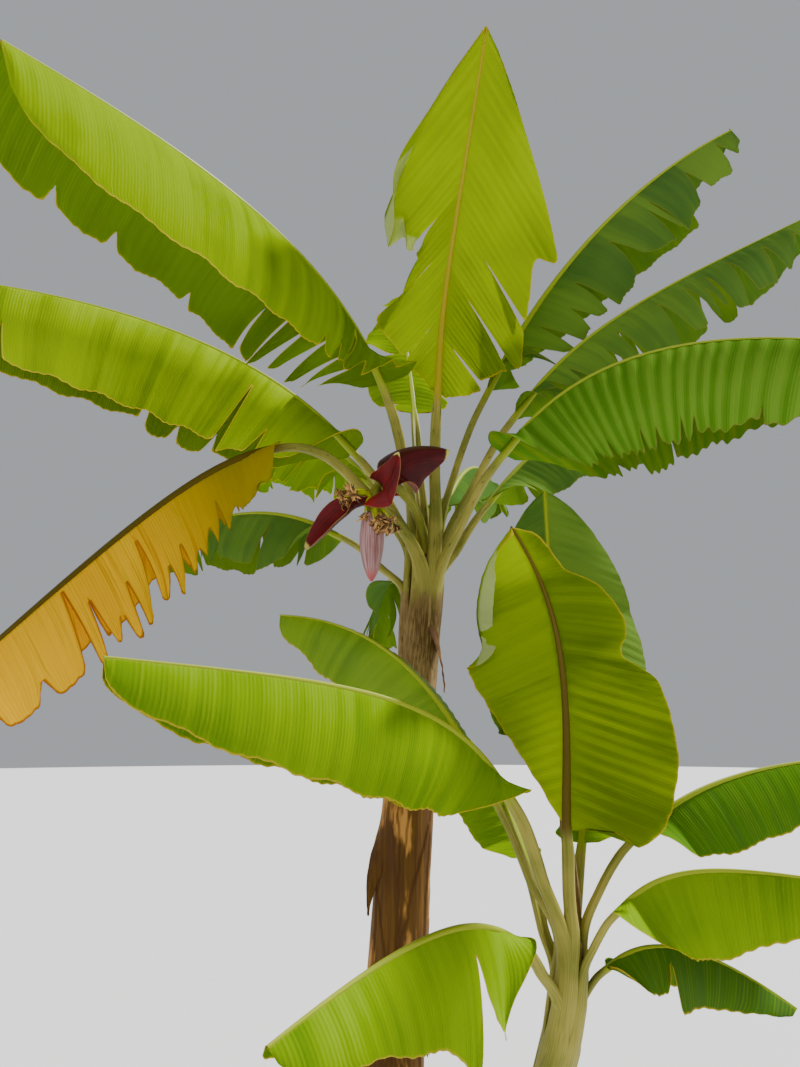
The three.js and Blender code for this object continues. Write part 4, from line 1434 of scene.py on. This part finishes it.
def floret(sculpt, spot, way, luck):
    """A dry flower at a finger's tip: a knot of curled petals."""
    for _ in range(PETALS):
        side = Vector([luck.uniform(-1, 1) for _ in range(3)]).normalized()
        turn = (side - way * side.dot(way)).normalized()
        reach = luck.uniform(*PETAL_REACH)
        end = spot + way * (reach * luck.uniform(0.5, 1)) + turn * (reach * luck.uniform(0.3, 0.9))
        near = spot + way * reach * 0.6 + turn * reach * 0.1
        points = [spot, near, end + way * reach * 0.4, end + turn * luck.uniform(-0.6, 0.8) * reach]
        wide = luck.uniform(*PETAL_WIDTH)
        limb(sculpt, points, lambda x: wide * (0.55 + 0.9 * math.sin(math.pi * x) - 0.3 * x), PETAL_GRID, 1,
             luck.uniform(0, 1), side.cross(way), 0.35)


def finger_size(x):
    return FINGER_RADIUS * (0.75 + 0.5 * math.sin(math.pi * x ** 0.8) - 0.3 * x)


def hand_piece(hand, finishes):
    """A hand of slim fingers round half the stalk, with a dry flower at each tip."""
    luck = random.Random(hand.name)
    sculpt = Sculpt()
    centre = BUD_TOP + UP * hand.height
    for angle, drop, long in hand.fingers():
        angle += luck.uniform(-4, 4)
        drop = math.radians(drop + luck.uniform(-6, 6))
        long *= luck.uniform(0.86, 1.05)
        out = bearing(angle)
        way = out * math.cos(drop) - UP * math.sin(drop)
        root = centre + out * (0.5 * STALK_RADIUS) + UP * luck.uniform(-0.006, 0.006)
        tip = root + way * long
        bow = UP * 0.16 * long
        points = [root, root + way * (0.35 * long) + bow, tip - way * (0.3 * long) + bow * 0.8, tip]
        limb(sculpt, points, finger_size, FINGER_GRID, 0, luck.uniform(0.3, 1), UP.cross(out))
        end = (points[3] - points[2]).normalized()
        floret(sculpt, tip - end * 0.003, end, luck)
        floret(sculpt, tip + end * 0.004, end, luck)
    sculpt.piece(hand.name + "_fingers", finishes, "flower", [hand.name])


def stalk_size(x):
    return STALK_RADIUS * (1 + 0.05 * math.sin(60 * x))


def stalk_piece(finishes):
    """The stalk that carries the flower."""
    sculpt = Sculpt()
    limb(sculpt, stalk_points(), stalk_size, STALK_GRID, 0, 0.5, Vector((0, 1, 0.2)))
    sculpt.piece("flower_stalk_skin", finishes, "stalk", ["flower_stalk"])


# Dry sheaths


def flap_piece(flap, stem, finishes):
    """A dry sheath that has come off the stem at its top edge and hangs, torn at its end."""
    luck = random.Random(flap.name)
    sculpt = Sculpt()
    level = stem.middle(flap.base).z
    top, bottom = level + FLAP_RISE, level - flap.drop
    seed = luck.uniform(0, 50)
    twist = luck.uniform(0.3, 0.8) * (1 if luck.random() < 0.5 else -1)

    def width(x):
        half = 0.5 * flap.width * lerp(1.5, 0.6, smooth(x, 0.1, 0.7)) * (1 + 0.3 * rough(x * 9, seed))
        return half * (1 - 0.86 * smooth(x, 0.6, 1))

    def place(x, y, middle_x):
        v = 2 * y - 1
        height = lerp(top, bottom, x)
        loose = smooth(x, 0.22, 1)
        radius = stem.radius(height)
        lift = FLAP_GAP + (flap.reach - radius) * 0.55 * loose
        middle, travel, outward = stem.skin(height, flap.heading, lift)
        across = travel.cross(outward).normalized()
        across.rotate(Quaternion(travel, twist * 2.2 * loose))
        half = width(x)
        curve = (1 - loose) / radius + FLAP_CURVE * loose
        bend = max(1e-3, half * curve)
        crumple = 0.006 * loose * rough(x * 12, v * 2, seed)
        down = (1 - math.cos(bend * v)) / curve
        co = middle + across * (math.sin(bend * v) / curve) + across.cross(travel) * (crumple - down)
        co.z = max(co.z + 0.02 * rough(v * 3, seed) * smooth(x, 0.8, 1), GROUND_GAP)
        return co, (v * half, half * (1 - abs(v)), x * (top - bottom)), 0.9

    sculpt.sheet(*FLAP_GRID, place, FLAP_THICKNESS)
    sculpt.piece(flap.name + "_flap", finishes, "dry_sheath", [flap.name])


# Stage


def add_camera(scene):
    camera = bpy.data.cameras.new("camera")
    camera.sensor_width = SENSOR
    camera.lens = SENSOR * FOCAL_SHARE
    view = bpy.data.objects.new("camera", camera)
    view.location = CAMERA_PLACE
    view.rotation_euler = [math.radians(part) for part in CAMERA_TURN]
    scene.collection.objects.link(view)
    scene.camera = view


def add_light(scene):
    for name, strength, angle, turn in LAMPS:
        lamp = bpy.data.lights.new(name, "SUN")
        lamp.energy = strength
        lamp.angle = math.radians(angle)
        light = bpy.data.objects.new(name, lamp)
        light.rotation_euler = [math.radians(part) for part in turn]
        scene.collection.objects.link(light)
    world = bpy.data.worlds.new("studio")
    world.use_nodes = True
    background = world.node_tree.nodes["Background"]
    background.inputs["Color"].default_value = SKY_COLOUR
    background.inputs["Strength"].default_value = SKY_STRENGTH
    scene.world = world


def add_floor(scene):
    bm = bmesh.new()
    bmesh.ops.create_circle(bm, cap_ends=True, segments=96, radius=FLOOR_RADIUS)
    mesh = bpy.data.meshes.new("floor")
    bm.to_mesh(mesh)
    bm.free()
    floor = bpy.data.objects.new("floor", mesh)
    floor.location.z = -FLOOR_DROP
    scene.collection.objects.link(floor)
    finish = Finish("floor")
    mesh.materials.append(finish.close(Base_Color=tuple(scene.banana_colours.floor), Roughness=0.8))


# Operators


class BANANA_OT_stems(bpy.types.Operator):
    """Build both stems with the relief of their sheaths"""

    bl_idname = "banana.stems"
    bl_label = "Stems"

    def execute(self, context):
        step = context.scene.banana_sizes.sheath_step
        luck = random.Random("stems")
        mother = [Sheath(MOTHER_FIRST + LEAF_TURN * k + luck.uniform(-OWN_TURN, OWN_TURN), top, dry)
                  for k, (top, dry) in enumerate(MOTHER_SHEATHS)]
        sucker = [Sheath(SUCKER_FIRST + LEAF_TURN * k, top, dry)
                  for k, (top, dry) in enumerate(SUCKER_SHEATHS)]
        stem_piece("pseudostem_skin", MOTHER, mother, step, STEM_GRID, STEM_END, STEM_RIM, FINISHES["stem"])
        stem_piece("sucker_stem_skin", SUCKER, sucker, step * 0.5, SUCKER_GRID, SUCKER_END, SUCKER_RIM,
                   FINISHES["young_stem"])
        return {"FINISHED"}


class BANANA_OT_leaves(bpy.types.Operator):
    """Build every leaf of both stems"""

    bl_idname = "banana.leaves"
    bl_label = "Leaves"

    def execute(self, context):
        sizes = context.scene.banana_sizes
        for stem, leaves in ((MOTHER, MOTHER_LEAVES), (SUCKER, SUCKER_LEAVES)):
            for leaf in leaves:
                slot = "old_leaf" if leaf.finish == "old" else "leaf"
                leaf_piece(leaf, stem, sizes, FINISHES[leaf.finish], slot)
        return {"FINISHED"}


class BANANA_OT_flower(bpy.types.Operator):
    """Build the stalk, bud, bracts and hands of the flower"""

    bl_idname = "banana.flower"
    bl_label = "Flower"

    def execute(self, context):
        stalk_piece(FINISHES["flower_stalk"])
        bud_piece(FINISHES["bud"])
        for leaf in BRACTS:
            bract_piece(leaf, FINISHES[leaf.finish])
        for hand in HANDS:
            hand_piece(hand, FINISHES["hand"])
        return {"FINISHED"}


class BANANA_OT_dry_sheaths(bpy.types.Operator):
    """Build the dry sheaths that hang from the stem"""

    bl_idname = "banana.dry_sheaths"
    bl_label = "Dry sheaths"

    def execute(self, context):
        for flap in DRY_SHEATHS:
            flap_piece(flap, MOTHER, FINISHES["dry"])
        return {"FINISHED"}


class BANANA_OT_stage(bpy.types.Operator):
    """Set the camera, the pale floor and the studio light"""

    bl_idname = "banana.stage"
    bl_label = "Stage"

    def execute(self, context):
        add_camera(context.scene)
        add_light(context.scene)
        add_floor(context.scene)
        return {"FINISHED"}


class BANANA_PT_panel(bpy.types.Panel):
    """Lists what builds the plant"""

    bl_idname = "BANANA_PT_panel"
    bl_label = "Banana plant"
    bl_space_type = "VIEW_3D"
    bl_region_type = "UI"
    bl_category = "Banana plant"

    def draw(self, context):
        column = self.layout.column()
        for step in STEPS:
            column.operator(step.bl_idname)


STEPS = (BANANA_OT_stems, BANANA_OT_leaves, BANANA_OT_flower, BANANA_OT_dry_sheaths, BANANA_OT_stage)
CLASSES = (BananaSizes, BananaColours, *STEPS, BANANA_PT_panel)
FINISHES = {}


def register():
    for entry in CLASSES:
        bpy.utils.register_class(entry)
    bpy.types.Scene.banana_sizes = PointerProperty(type=BananaSizes)
    bpy.types.Scene.banana_colours = PointerProperty(type=BananaColours)


def unregister():
    del bpy.types.Scene.banana_colours
    del bpy.types.Scene.banana_sizes
    for entry in reversed(CLASSES):
        bpy.utils.unregister_class(entry)


def main():
    register()
    FINISHES.update(make_finishes(bpy.context.scene.banana_colours))
    bpy.ops.banana.stems()
    bpy.ops.banana.leaves()
    bpy.ops.banana.flower()
    bpy.ops.banana.dry_sheaths()
    bpy.ops.banana.stage()


if __name__ == "__main__":
    main()
